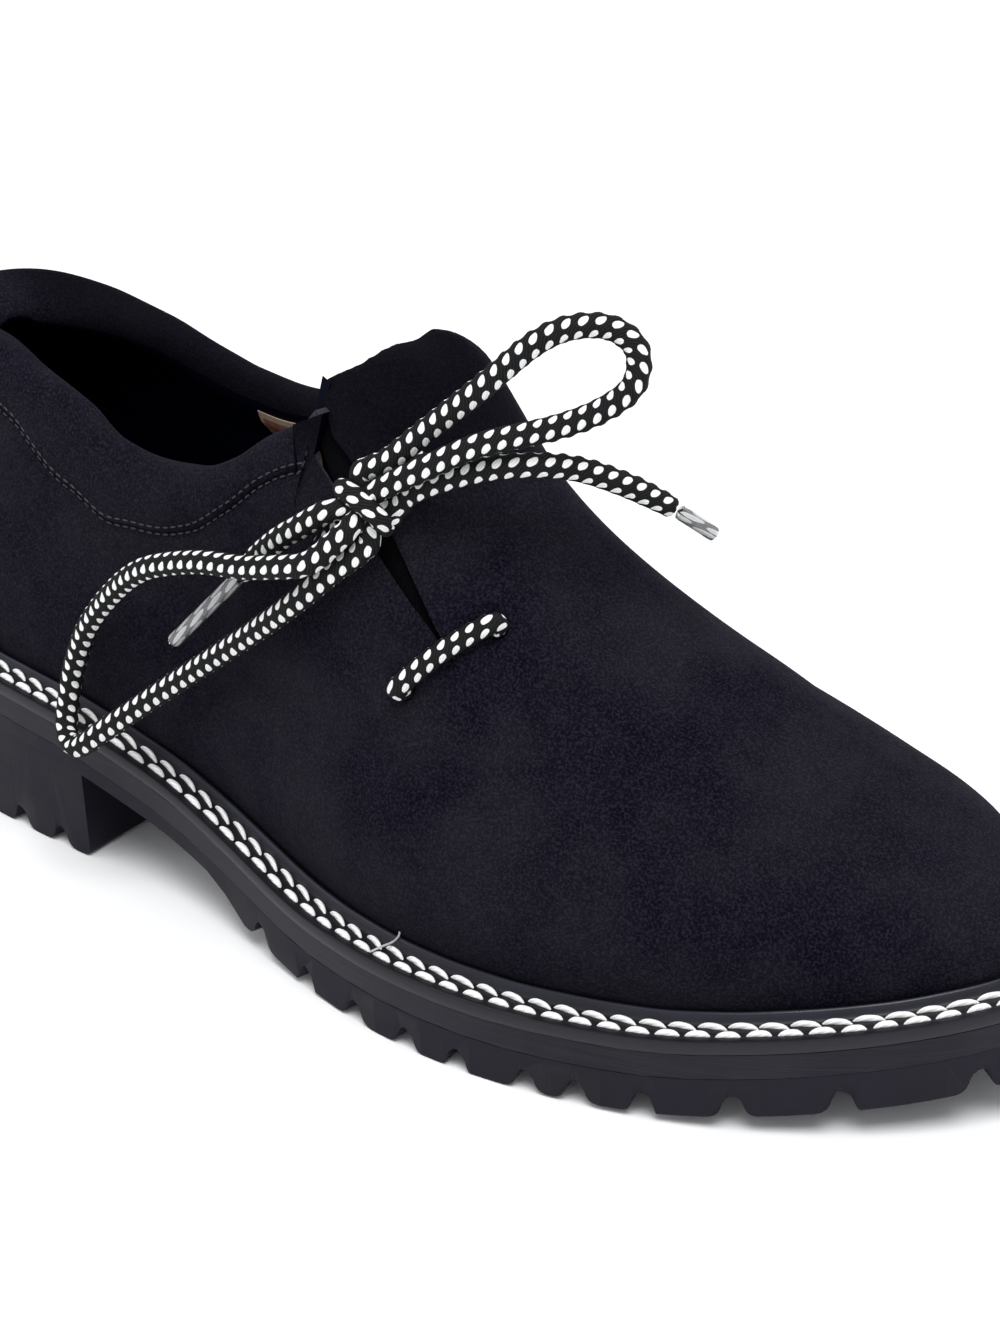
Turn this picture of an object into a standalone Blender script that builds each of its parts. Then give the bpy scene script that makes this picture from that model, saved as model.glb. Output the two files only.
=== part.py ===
"""Low folk shoe for the right foot, laced at its outer side, on a lugged rubber sole.

Lengths are millimetres from the back of the heel, until in_metres() moves them to the middle of
the sole. X runs from the heel to the toe, Y to the inner side of the foot, Z up from the floor.
"""

import math

import bmesh
import bpy
import numpy as np

MM = 0.001

# Sole
LENGTH = 306.0
BALL_WIDTH = 107.2
BALL_EDGE_HEIGHT = 17.0
WELT_THICKNESS = 3.0
WELT_RIM = 9.4
WELT_RIM_AT_SHANK = 8.2
WELT_RIM_AT_HEEL = 7.6
RAND_HEIGHT = 2.0
MIDSOLE_THICKNESS = 5.0
OUTSOLE_THICKNESS = 3.7
LUG_DEPTH = 4.7
MIDSOLE_INSET = 0.9
OUTSOLE_INSET = 0.3
HEEL_INSET = 1.4
GAP = 0.3
HEEL_LENGTH = 88.0
LUG_RAMP = 3.0
GROOVE_WIDTH = 3.4
GROOVE_MARGIN = 17.0
HEEL_GROOVE_MARGIN = 18.0
WELT_STEPS = 72

# Upper
WALL = 2.0
BACK_HEIGHT = 107.0
COLLAR_DEPTH = 14.0
COLLAR_PAD = 6.2
COLLAR_STEPS = 19
VAMP_STEPS = 23
UPPER_ROWS = 11
INSOLE_THICKNESS = 6.0
INSOLE_CLEARANCE = 1.8
TONGUE_THICKNESS = 1.5
NOSE_LENGTH = 38.0
COUNTER_BULGE = 2.0
COUNTER_LEAN = 17.0
TOP_LEAN = 22.0
BULGE_HEIGHT = 38.0
LABEL_LENGTH = 17.0

# Lace
LACE_DIAMETER = 4.8
BAR_DIAMETER = 4.2
HOLE_DIAMETER = 7.2
AGLET_DIAMETER = 3.2
BAR_CLEARANCE = 0.3
BAR_SPACING = 3.4

# Shares of LENGTH: where the lugs start, where the collar ends, where the vamp's seat starts,
# the label's middle and how far forward the counter's lean fades out
LUGS_FROM = 0.435
COLLAR_FRONT = 0.481
UPPER_FRONT = 0.572
LABEL_MIDDLE = 0.346
COUNTER_REACH = 0.294

# Share of the girth at the middle of the lip
LIP_MIDDLE = 0.514

# Shares of BALL_WIDTH: where the walls' bulge is full, and how far from the middle it fades in
BULGE_WIDTH = 0.466
BULGE_FADE = 0.112

# How far a cutter reaches past what it cuts
CUTTER_REACH = 4.0

# Distance between two sections of a plate at its ends
SLICE_MARGIN = 0.4


class Table:
    """Rows of named columns, read by a smooth curve that never passes its rows."""

    def __init__(self, columns, rows):
        self.names = columns.split()
        self.rows = np.array(rows, float)

    def column(self, name):
        return self.rows[:, self.names.index(name)]

    def read(self, name, at):
        return smooth_read(self.rows[:, 0], self.column(name), at)


# Shares of LENGTH and of BALL_WIDTH
OUTLINE = Table("along outer inner", (
    (0.000, 0.000, 0.000),
    (0.020, 0.187, 0.187),
    (0.059, 0.294, 0.289),
    (0.118, 0.327, 0.341),
    (0.196, 0.350, 0.350),
    (0.294, 0.364, 0.308),
    (0.392, 0.371, 0.261),
    (0.490, 0.429, 0.275),
    (0.588, 0.485, 0.369),
    (0.667, 0.492, 0.462),
    (0.745, 0.457, 0.509),
    (0.824, 0.389, 0.504),
    (0.902, 0.269, 0.443),
    (0.954, 0.149, 0.336),
))
TOE_POINT_INWARD = 0.093

# Height of the welt's upper face over the floor, as shares of LENGTH and of BALL_EDGE_HEIGHT
PITCH = Table("along height", (
    (0.000, 2.424),
    (0.098, 2.271),
    (0.265, 2.076),
    (0.353, 1.741),
    (0.441, 1.329),
    (0.539, 1.035),
    (0.608, 1.000),
    (0.686, 1.000),
    (0.784, 1.065),
    (0.863, 1.225),
    (1.000, 1.590),
))

# Sections of the last: place along LENGTH, ridge height over the floor and its offset inward
# as shares of BALL_WIDTH, roundness of the width and of the height, and the wall's bulge
SECTIONS = Table("along ridge offset wide high bulge", (
    (0.023, 1.150, 0.000, 2.2, 4.5, 1.5),
    (0.131, 1.130, 0.000, 2.1, 4.0, 2.0),
    (0.261, 1.165, 0.000, 2.1, 3.8, 2.5),
    (0.359, 1.231, 0.009, 2.1, 3.2, 3.0),
    (0.458, 1.250, 0.019, 2.1, 2.6, 3.5),
    (0.507, 1.239, 0.024, 2.1, 2.4, 3.8),
    (0.539, 1.185, 0.028, 2.1, 2.3, 4.0),
    (0.605, 0.933, 0.037, 2.2, 2.2, 4.0),
    (0.670, 0.756, 0.047, 2.3, 2.2, 4.0),
    (0.752, 0.616, 0.056, 2.4, 2.2, 4.0),
    (0.833, 0.504, 0.065, 2.4, 2.2, 3.5),
    (0.899, 0.448, 0.075, 2.4, 2.2, 3.0),
    (0.971, 0.410, 0.084, 2.4, 2.2, 2.0),
))

# Top line of the collar, as shares of LENGTH and of BACK_HEIGHT
TOP_LINE = Table("along outer inner", (
    (0.023, 1.045, 1.045),
    (0.131, 1.035, 1.015),
    (0.203, 1.005, 0.975),
    (0.278, 0.962, 0.938),
    (0.317, 0.912, 0.931),
    (0.353, 0.897, 0.931),
    (0.392, 0.908, 0.940),
    (0.425, 0.939, 0.965),
    (0.458, 0.995, 1.009),
    (0.490, 1.047, 1.056),
))

# Edge of the vamp's lip over the instep: share of the girth from the outer seat, share of LENGTH
LIP = Table("girth along", (
    (0.418, 0.483),
    (0.450, 0.508),
    (0.480, 0.521),
    (0.512, 0.531),
    (0.542, 0.530),
    (0.572, 0.516),
    (0.610, 0.483),
))

# Slit of the side lacing, from the top line down: its middle line and its width in millimetres
SLIT = Table("step along girth width", (
    (0.00, 0.462, 0.430, 6.0),
    (0.14, 0.484, 0.402, 5.6),
    (0.28, 0.502, 0.376, 6.4),
    (0.42, 0.523, 0.364, 6.2),
    (0.56, 0.553, 0.352, 5.2),
    (0.70, 0.580, 0.343, 4.2),
    (0.82, 0.598, 0.335, 2.8),
    (0.92, 0.612, 0.326, 1.6),
    (1.00, 0.624, 0.317, 1.0),
))

# Lace holes: place along LENGTH and share of the girth
HOLES = {
    "quarter_upper": (0.523, 0.305),
    "quarter_lower": (0.592, 0.260),
    "vamp_upper": (0.565, 0.425),
    "vamp_lower": (0.635, 0.381),
}

# Notches between the lugs of the forefoot and of the heel, as shares of LENGTH on each side
FRONT_NOTCHES = Table("outer inner", (
    (0.477, 0.472),
    (0.531, 0.523),
    (0.580, 0.572),
    (0.628, 0.620),
    (0.671, 0.668),
    (0.720, 0.716),
    (0.757, 0.764),
    (0.800, 0.812),
    (0.853, 0.860),
    (0.909, 0.909),
    (0.972, 0.957),
))
HEEL_NOTCHES = (0.065, 0.113, 0.162, 0.211, 0.258)
FRONT_GROOVES = (0.462, 0.526, 0.588, 0.650, 0.712, 0.774, 0.836, 0.898)

# Width of a notch at its top, and how far each of its walls leans out on the way down
NOTCH_WIDTH = 2.8
NOTCH_FLARE = 0.3
NOTCH_REACH = 13.0

# Routes of the lace's free parts, chosen by hand: X, Y, Z, with the knot over KNOT_HOME. Each
# follows the knot's place on the upper.
KNOT_HOME = (166.3, -25.1, 103.7)
LOOP_LEFT = (
    (170.5, -35.0, 100.6), (168.7, -37.1, 98.2), (164.1, -40.4, 93.6), (156.4, -41.4, 91.1),
    (146.8, -41.4, 88.5), (136.5, -41.0, 86.6), (126.5, -40.5, 83.5), (116.9, -40.0, 79.2),
    (107.1, -39.0, 71.5), (97.2, -38.5, 60.4), (91.9, -39.0, 49.8), (90.5, -41.0, 40.6),
    (92.1, -43.6, 35.7), (96.2, -45.4, 34.2), (100.7, -45.6, 36.7), (105.3, -44.8, 40.6),
    (116.1, -42.0, 49.4), (128.4, -39.5, 59.2), (144.5, -38.5, 71.7), (159.1, -38.5, 83.7),
    (166.3, -36.0, 90.7), (172.5, -32.1, 96.7),
)
LOOP_RIGHT = (
    (169.3, -29.3, 109.7), (173.9, -26.7, 112.4), (180.8, -21.4, 119.2), (189.1, -16.5, 127.1),
    (196.8, -9.8, 135.3), (201.9, -4.5, 138.0), (207.3, 0.3, 137.4), (211.8, 2.0, 133.5),
    (212.9, -0.7, 127.6), (208.9, -5.3, 123.3), (202.1, -11.3, 120.2), (191.6, -20.2, 117.5),
    (184.1, -25.7, 113.6), (178.9, -28.4, 110.6), (173.7, -30.6, 107.2),
)
END_LEFT = (
    (165.6, -34.4, 102.8), (162.7, -35.3, 101.2), (158.3, -35.9, 98.1), (153.0, -35.9, 94.4),
    (146.6, -35.0, 89.1), (142.2, -34.6, 84.7), (139.4, -34.6, 81.8),
)
END_RIGHT = (
    (175.7, -27.7, 103.4), (177.4, -25.6, 105.7), (181.5, -23.1, 108.2), (189.7, -18.2, 111.2),
    (197.6, -13.3, 112.3), (203.8, -6.5, 110.5), (209.9, 0.2, 106.3), (214.6, 5.3, 102.0),
    (216.5, 7.2, 100.1),
)
AGLET_LEFT = (
    (139.1, -34.6, 81.5), (122.4, -38.6, 63.8),
)
AGLET_RIGHT = (
    (216.8, 7.5, 99.8), (221.3, 13.5, 93.6),
)
KNOT_PLACE = (0.5435, 0.369)

# The knot's size across the slit, down it and out of the upper, and its centre the same way
KNOT_SIZE = (7.0, 13.5, 9.8)
KNOT_ROUNDING = 2.8
KNOT_CENTRE = (-0.9, 4.2, 5.7)

# Where the lace from the two upper holes meets the knot, the same way
BAR_START = (-5.2, 1.8, 2.7)
BAR_END = (3.4, 2.0, 2.7)


def smooth_read(places, values, at):
    """Monotone cubic curve through the rows of a table, held level past its ends."""
    places, values = np.asarray(places, float), np.asarray(values, float)
    steps = np.diff(places)
    rises = np.diff(values) / steps
    slopes = np.zeros(len(places))
    for i in range(1, len(places) - 1):
        if rises[i - 1] * rises[i] > 0:
            near = 2 * steps[i] + steps[i - 1]
            far = steps[i] + 2 * steps[i - 1]
            slopes[i] = (near + far) / (near / rises[i - 1] + far / rises[i])
    slopes[0], slopes[-1] = rises[0], rises[-1]
    at = np.clip(at, places[0], places[-1])
    i = np.clip(np.searchsorted(places, at) - 1, 0, len(places) - 2)
    t = (at - places[i]) / steps[i]
    return (
        (2 * t**3 - 3 * t**2 + 1) * values[i]
        + (t**3 - 2 * t**2 + t) * steps[i] * slopes[i]
        + (3 * t**2 - 2 * t**3) * values[i + 1]
        + (t**3 - t**2) * steps[i] * slopes[i + 1]
    )


def closed_curve(points, count):
    """Closed cubic spline through points, read at equal steps."""
    points = np.array(points, float)
    total = len(points)
    steps = np.linalg.norm(np.roll(points, -1, axis=0) - points, axis=1)
    matrix = np.zeros((total, total))
    right = np.zeros((total, points.shape[1]))
    for i in range(total):
        before, after = i - 1, (i + 1) % total
        matrix[i, before] += steps[before]
        matrix[i, i] += 2 * (steps[before] + steps[i])
        matrix[i, after] += steps[i]
        rise = (points[after] - points[i]) / steps[i]
        right[i] = 6 * (rise - (points[i] - points[before]) / steps[before])
    bend = np.linalg.solve(matrix, right)
    ends = np.concatenate([[0], np.cumsum(steps)])
    along = np.linspace(0, ends[-1], count, endpoint=False)
    i = np.clip(np.searchsorted(ends, along, side="right") - 1, 0, total - 1)
    j = (i + 1) % total
    step = steps[i][:, None]
    t = (along - ends[i])[:, None]
    u = step - t
    return (
        bend[i] * u**3 / (6 * step)
        + bend[j] * t**3 / (6 * step)
        + (points[i] / step - bend[i] * step / 6) * u
        + (points[j] / step - bend[j] * step / 6) * t
    )


def sole_outline(count=720):
    """The welt's outer edge in plan, from the heel along the outer side and back along the inner."""
    along = OUTLINE.column("along") * LENGTH
    outer = np.stack([along, -OUTLINE.column("outer") * BALL_WIDTH], axis=1)
    inner = np.stack([along, OUTLINE.column("inner") * BALL_WIDTH], axis=1)[1:]
    tip = [[LENGTH, TOE_POINT_INWARD * BALL_WIDTH]]
    return closed_curve(np.vstack([outer, tip, inner[::-1]]), count)


def in_metres(points):
    """Points in metres from the middle of the sole's box on the floor."""
    edge = sole_outline(WELT_STEPS)
    middle = np.append((edge.min(axis=0) + edge.max(axis=0)) / 2, 0.0)
    return (np.asarray(points, float) - middle) * MM


def rim(x):
    """Width of the welt that shows outside the upper."""
    widths = (WELT_RIM_AT_HEEL, WELT_RIM_AT_SHANK, WELT_RIM, WELT_RIM)
    return np.interp(x / LENGTH, (0.0, 0.2, 0.5, 1.0), widths)


def inset(loop, depth):
    """A closed outline moved inward by a depth, or by one depth for each point."""
    ahead = np.roll(loop, -1, axis=0) - np.roll(loop, 1, axis=0)
    inward = np.stack([-ahead[:, 1], ahead[:, 0]], axis=1)
    inward /= np.linalg.norm(inward, axis=1)[:, None]
    return loop + inward * np.reshape(depth, (-1, 1))


def sides(loop, x):
    """Outer and inner Y of a closed outline at each X."""
    first, last = loop[:, 0].argmin(), loop[:, 0].argmax()
    turned = np.roll(loop, -first, axis=0)
    half = (last - first) % len(loop)
    outer = turned[: half + 1]
    inner = np.vstack([turned[half:], turned[:1]])[::-1]
    return np.interp(x, outer[:, 0], outer[:, 1]), np.interp(x, inner[:, 0], inner[:, 1])


def welt_top(x):
    """Height of the welt's upper face over the floor."""
    return PITCH.read("height", np.asarray(x) / LENGTH) * BALL_EDGE_HEIGHT


MIDSOLE_TOP = WELT_THICKNESS + GAP
OUTSOLE_TOP = MIDSOLE_TOP + MIDSOLE_THICKNESS + GAP
OUTSOLE_BASE = OUTSOLE_TOP + OUTSOLE_THICKNESS


def outsole_base(x):
    """Height of the outsole's plain underside, the bottom of its notches."""
    return welt_top(x) - OUTSOLE_BASE


def tread(x):
    """Height of the outsole's lowest face: the lugs of the forefoot, plain under the waist."""
    lugs = np.maximum(welt_top(x) - BALL_EDGE_HEIGHT, 0.0)
    share = np.clip((np.asarray(x) - LUGS_FROM * LENGTH) / LUG_RAMP, 0.0, 1.0)
    return outsole_base(x) * (1 - share) + lugs * share


# Shares of BACK_HEIGHT: where the counter starts, is fullest, leans in, and its top
LEAN_HEIGHTS = (0.383, 0.579, 0.991, 1.215)


class Last:
    """Outer surface of the upper: sections across the foot, closed over the instep and heel."""

    stations = 160
    girth_steps = 120

    def __init__(self):
        edge = sole_outline()
        self.seat = inset(edge, rim(edge[:, 0]))
        self.back = self.seat[:, 0].min()
        self.toe = self.seat[:, 0].max()
        step = np.linspace(0, 1, self.stations + 1)
        places = self.back + (self.toe - self.back) * (1 - np.cos(np.pi * step)) / 2
        self.grid = np.array([self.section(x) for x in places])

    def section(self, x):
        """Points at equal steps of the girth, from the outer seat over the ridge to the inner."""
        share = x / LENGTH
        outer, inner = sides(self.seat, x)
        middle = SECTIONS.read("offset", share) * BALL_WIDTH
        middle = np.clip(middle, 0.7 * outer + 0.3 * inner, 0.3 * outer + 0.7 * inner)
        floor = float(welt_top(x))
        nose = max(0.0, (x - self.toe + NOSE_LENGTH) / NOSE_LENGTH)
        rise = SECTIONS.read("ridge", share) * BALL_WIDTH - floor
        rise *= max(0.0, 1 - nose**2.4) ** 0.45
        half = np.linspace(0, 1, 201)
        turn = np.concatenate([half**2, 2 - half[-2::-1] ** 2]) * np.pi / 2
        up = np.clip(np.sin(turn), 0, 1) ** (2 / SECTIONS.read("high", share))
        out = np.abs(np.cos(turn)) ** (2 / SECTIONS.read("wide", share))
        y = np.where(np.cos(turn) > 0, middle - (middle - outer) * out, middle + (inner - middle) * out)
        z = floor + rise * up
        bulge = SECTIONS.read("bulge", share) * min(1.0, (inner - outer) / (BULGE_WIDTH * BALL_WIDTH))
        bulge = bulge * np.sin(np.pi * np.clip((z - floor) / BULGE_HEIGHT, 0, 1))
        y = y + bulge * np.clip((y - middle) / (BULGE_FADE * BALL_WIDTH), -1, 1)
        points = np.stack([np.full_like(y, x), y, z], axis=1)
        girth = np.concatenate([[0], np.cumsum(np.linalg.norm(np.diff(points, axis=0), axis=1))])
        even = np.linspace(0, girth[-1], self.girth_steps + 1)
        points = np.stack([np.interp(even, girth, points[:, k]) for k in range(3)], axis=1)
        leans = (0.0, -COUNTER_BULGE, COUNTER_LEAN, TOP_LEAN)
        lean = smooth_read(LEAN_HEIGHTS, leans, points[:, 2] / BACK_HEIGHT)
        points[:, 0] += lean * max(0.0, 1 - (x - self.back) / (COUNTER_REACH * LENGTH)) ** 1.5
        return points

    def at(self, x, girth):
        """Point of the surface at a station X and a share of the girth."""
        x, girth = np.broadcast_arrays(np.asarray(x, float), np.asarray(girth, float))
        share = np.clip(1 - 2 * (x - self.back) / (self.toe - self.back), -1, 1)
        row = np.arccos(share) / np.pi * self.stations
        column = np.clip(girth, 0, 1) * self.girth_steps
        i = np.clip(row.astype(int), 0, self.stations - 1)
        j = np.clip(column.astype(int), 0, self.girth_steps - 1)
        a, b = (row - i)[..., None], (column - j)[..., None]
        low = self.grid[i, j] * (1 - b) + self.grid[i, j + 1] * b
        high = self.grid[i + 1, j] * (1 - b) + self.grid[i + 1, j + 1] * b
        return low * (1 - a) + high * a

    def outward(self, x, girth):
        """Unit normal of the surface, out of the shoe."""
        ahead = self.at(x + 0.8, girth) - self.at(x - 0.8, girth)
        over = self.at(x, np.add(girth, 0.008)) - self.at(x, np.subtract(girth, 0.008))
        normal = np.cross(ahead, over)
        return normal / np.linalg.norm(normal, axis=-1)[..., None]

    def lifted(self, x, girth, lift):
        """A point over the surface by lift, or inside it where lift is negative."""
        return self.at(x, girth) + self.outward(x, girth) * np.reshape(lift, np.shape(x) + (1,))

    def girth_at(self, x, height, inner):
        """Share of the girth where one wall reaches a height at the station X."""
        half = np.linspace(0.5, 1.0, 400) if inner else np.linspace(0.0, 0.5, 400)
        heights = self.at(np.full(400, x), half)[:, 2]
        if inner:
            half, heights = half[::-1], heights[::-1]
        return float(np.interp(height, heights, half))


def top_line_height(x, inner):
    return float(TOP_LINE.read("inner" if inner else "outer", x / LENGTH)) * BACK_HEIGHT


def collar_row(last, x, inner):
    """Shares of the girth of the collar's lower seam and of its top line."""
    top = top_line_height(x, inner)
    seam = last.girth_at(x, top - COLLAR_DEPTH, inner)
    return seam, last.girth_at(x, top, inner)


def clear_scene():
    for item in list(bpy.data.objects):
        bpy.data.objects.remove(item, do_unlink=True)


def new_collection(name, hidden=False):
    collection = bpy.data.collections.new(name)
    collection.hide_render = hidden
    bpy.context.scene.collection.children.link(collection)
    return collection


def new_material(name, colour, roughness):
    material = bpy.data.materials.new(name)
    material.use_nodes = True
    shader = material.node_tree.nodes["Principled BSDF"]
    shader.inputs["Base Color"].default_value = (*colour, 1.0)
    shader.inputs["Roughness"].default_value = roughness
    shader.inputs["Metallic"].default_value = 0.0
    return material


def mesh_object(name, points, faces, collection, material=None, solid=True, angle=35.0):
    """An object from points in millimetres. A solid has its doubles welded and its faces out."""
    mesh = bpy.data.meshes.new(name)
    mesh.from_pydata(in_metres(points).tolist(), [], faces)
    if solid:
        work = bmesh.new()
        work.from_mesh(mesh)
        bmesh.ops.remove_doubles(work, verts=work.verts, dist=0.00001)
        bmesh.ops.recalc_face_normals(work, faces=work.faces)
        work.to_mesh(mesh)
        work.free()
    mesh.shade_smooth()
    mesh.set_sharp_from_angle(angle=math.radians(angle))
    item = bpy.data.objects.new(name, mesh)
    if material:
        mesh.materials.append(material)
    collection.objects.link(item)
    return item


def loft(name, sections, collection, material=None, closed=False, angle=35.0):
    """A solid through sections with the same number of points, capped unless it closes on itself."""
    sections = np.asarray(sections, float)
    rows, columns = sections.shape[:2]
    faces = []
    for i in range(rows if closed else rows - 1):
        for j in range(columns):
            k, l = (i + 1) % rows, (j + 1) % columns
            faces.append((i * columns + j, i * columns + l, k * columns + l, k * columns + j))
    if not closed:
        faces.append(tuple(range(columns)))
        faces.append(tuple((rows - 1) * columns + j for j in range(columns)))
    return mesh_object(name, sections.reshape(-1, 3), faces, collection, material, angle=angle)


def plate(name, loop, top, bottom, collection, material, start=None, end=None, count=44):
    """A plate with a plan outline between two faces whose heights are functions of X."""
    first, last = loop[:, 0].min(), loop[:, 0].max()
    start, end = start or first, end or last
    turn = np.linspace(0, math.pi, count + 1)
    x = first + (last - first) * (1 - np.cos(turn)) / 2
    x = x[(x > start + SLICE_MARGIN) & (x < end - SLICE_MARGIN)]
    x = np.concatenate([[start], x, [end]])
    outer, inner = sides(loop, x)
    low, high = bottom(x), top(x)
    sections = [
        ((a, b, d), (a, c, d), (a, c, e), (a, b, e)) for a, b, c, d, e in zip(x, outer, inner, low, high)
    ]
    return loft(name, sections, collection, material)


def boolean(item, cutter, operation="DIFFERENCE"):
    modifier = item.modifiers.new(cutter.name, "BOOLEAN")
    modifier.operation = operation
    modifier.solver = "EXACT"
    modifier.object = cutter


BOX_CORNERS = ((0, 0), (1, 0), (1, 1), (0, 1))
BOX_FACES = ((0, 3, 2, 1), (4, 5, 6, 7), (0, 1, 5, 4), (1, 2, 6, 5), (2, 3, 7, 6), (3, 0, 4, 7))


def boxes(name, frames, collection):
    """Separate boxes in one cutter: each has a corner, its three edges, and the flare of its foot."""
    points, faces = [], []
    for corner, a, b, c, flare in frames:
        first = len(points)
        for i, j in BOX_CORNERS:
            points.append(corner + i * a + j * b + (2 * i - 1) * flare)
        for i, j in BOX_CORNERS:
            points.append(corner + i * a + j * b + c)
        for face in BOX_FACES:
            faces.append(tuple(first + corner_index for corner_index in face))
    item = mesh_object(name, points, faces, collection)
    item.display_type = "WIRE"
    item.hide_render = True
    return item


def notch_frames(places, ceiling):
    """Boxes that cut in from the sole's edge, from below the floor up to a height, and widen down."""
    edge = sole_outline()
    first, last = edge[:, 0].argmin(), edge[:, 0].argmax()
    frames = []
    for x, inner in places:
        index = np.arange(len(edge))
        on_inner = (index - first) % len(edge) > (last - first) % len(edge)
        rows = index[on_inner == inner]
        near = rows[np.abs(edge[rows, 0] - x).argmin()]
        ahead = edge[(near + 2) % len(edge)] - edge[near - 2]
        ahead = np.append(ahead / np.linalg.norm(ahead), 0.0)
        inward = np.array([-ahead[1], ahead[0], 0.0])
        foot = np.append(edge[near], -CUTTER_REACH)
        corner = foot - ahead * NOTCH_WIDTH / 2 - inward * CUTTER_REACH
        height = np.array([0.0, 0.0, ceiling(x) + CUTTER_REACH])
        reach = inward * (NOTCH_REACH + CUTTER_REACH)
        frames.append((corner, ahead * NOTCH_WIDTH, reach, height, ahead * NOTCH_FLARE * height[2]))
    return frames


def groove_frames(places, ceiling, margin):
    """Boxes across the middle of the tread, clear of the edge lugs."""
    middle = inset(sole_outline(), margin)
    frames = []
    for x in places:
        outer, inner = sides(middle, x)
        corner = np.array([x - GROOVE_WIDTH / 2, outer, -CUTTER_REACH])
        width = np.array([GROOVE_WIDTH, 0.0, 0.0])
        reach = np.array([0.0, inner - outer, 0.0])
        height = np.array([0.0, 0.0, ceiling(x) + CUTTER_REACH])
        frames.append((corner, width, reach, height, 0.0 * width))
    return frames


def make_sole(collection, cutters, rubber, charcoal, welt_leather):
    edge = sole_outline()
    plate(
        "midsole", inset(edge, MIDSOLE_INSET), lambda x: welt_top(x) - MIDSOLE_TOP,
        lambda x: welt_top(x) - MIDSOLE_TOP - MIDSOLE_THICKNESS, collection, charcoal,
    )
    outsole = plate(
        "outsole", inset(edge, OUTSOLE_INSET), lambda x: welt_top(x) - OUTSOLE_TOP, tread,
        collection, rubber, count=76,
    )
    outer = [(share * LENGTH, False) for share in FRONT_NOTCHES.column("outer")]
    inner = [(share * LENGTH, True) for share in FRONT_NOTCHES.column("inner")]
    boolean(outsole, boxes("notches_front", notch_frames(outer + inner, outsole_base), cutters))
    grooves = groove_frames([share * LENGTH for share in FRONT_GROOVES], outsole_base, GROOVE_MARGIN)
    boolean(outsole, boxes("grooves_front", grooves, cutters))

    heel = plate(
        "heel", inset(edge, HEEL_INSET), lambda x: outsole_base(x) - GAP, lambda x: np.zeros_like(x),
        collection, rubber, end=HEEL_LENGTH, count=60,
    )
    notches = [(share * LENGTH, inner) for share in HEEL_NOTCHES for inner in (False, True)]
    boolean(heel, boxes("notches_heel", notch_frames(notches, lambda x: LUG_DEPTH), cutters))
    places = [share * LENGTH for share in HEEL_NOTCHES[1:]]
    grooves = groove_frames(places, lambda x: LUG_DEPTH, HEEL_GROOVE_MARGIN)
    boolean(heel, boxes("grooves_heel", grooves, cutters))
    make_welt(collection, welt_leather)


# The welt's section: share of the rim in from its edge, and height over its flat face as a share
# of RAND_HEIGHT above it and of WELT_THICKNESS below. The last rows pass under the upper.
WELT_SECTION = Table("inward height", (
    (0.00, -0.90),
    (0.02, -0.17),
    (0.09, 0.00),
    (0.70, 0.00),
    (0.75, 0.55),
    (0.80, 1.00),
    (0.85, 0.90),
    (0.88, 0.00),
    (1.23, 0.00),
    (1.23, -1.00),
    (0.04, -1.00),
))


def make_welt(collection, material):
    """The stitched welt, all the way round, with its raised rand against the upper."""
    loop = sole_outline(WELT_STEPS)
    width = rim(loop[:, 0])
    rings = []
    for inward, height in WELT_SECTION.rows:
        ring = inset(loop, width * inward)
        lift = height * (RAND_HEIGHT if height > 0 else WELT_THICKNESS)
        rings.append(np.column_stack([ring, welt_top(ring[:, 0]) + lift]))
    loft("welt", np.stack(rings, axis=1), collection, material, closed=True, angle=50.0)


def make_insole(collection, material):
    edge = sole_outline()
    loop = inset(edge, rim(edge[:, 0]) + WALL + INSOLE_CLEARANCE)
    plate(
        "insole", loop, lambda x: welt_top(x) - MIDSOLE_TOP + GAP + INSOLE_THICKNESS,
        lambda x: welt_top(x) - MIDSOLE_TOP + GAP, collection, material,
    )


def upper_spokes(last):
    """Matching places of the seat and of the opening round the shoe from the heel's back.

    Each row has the station and girth at the seat, the same at the opening, and how far
    forward it lies in the forefoot, from 0 at the waist to 1 at the toe's tip.
    """
    front = UPPER_FRONT * LENGTH
    corner = LIP.rows[0, 1] * LENGTH
    outer, inner = [], []
    for i in range(COLLAR_STEPS + 1):
        share = (i / COLLAR_STEPS) ** 2
        x = last.back + (front - last.back) * share
        top = last.back + (corner - last.back) * share
        outer.append((x, 0.0, top, collar_row(last, top, False)[0], 0.0))
        inner.append((x, 1.0, top, collar_row(last, top, True)[0], 0.0))
    for i in range(VAMP_STEPS):
        forward = i / VAMP_STEPS
        x = last.toe - (last.toe - front) * (1 - forward) ** 2
        for side, spokes, corner_girth in ((0.0, outer, LIP.rows[0, 0]), (1.0, inner, LIP.rows[-1, 0])):
            girth = corner_girth + (LIP_MIDDLE - corner_girth) * forward
            spokes.append((x, side, float(LIP.read("along", girth)) * LENGTH, girth, forward))
    tip = (last.toe, 0.5, float(LIP.read("along", LIP_MIDDLE)) * LENGTH, LIP_MIDDLE, 1.0)
    return np.array(outer + [tip] + inner[::-1][:-1])


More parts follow.
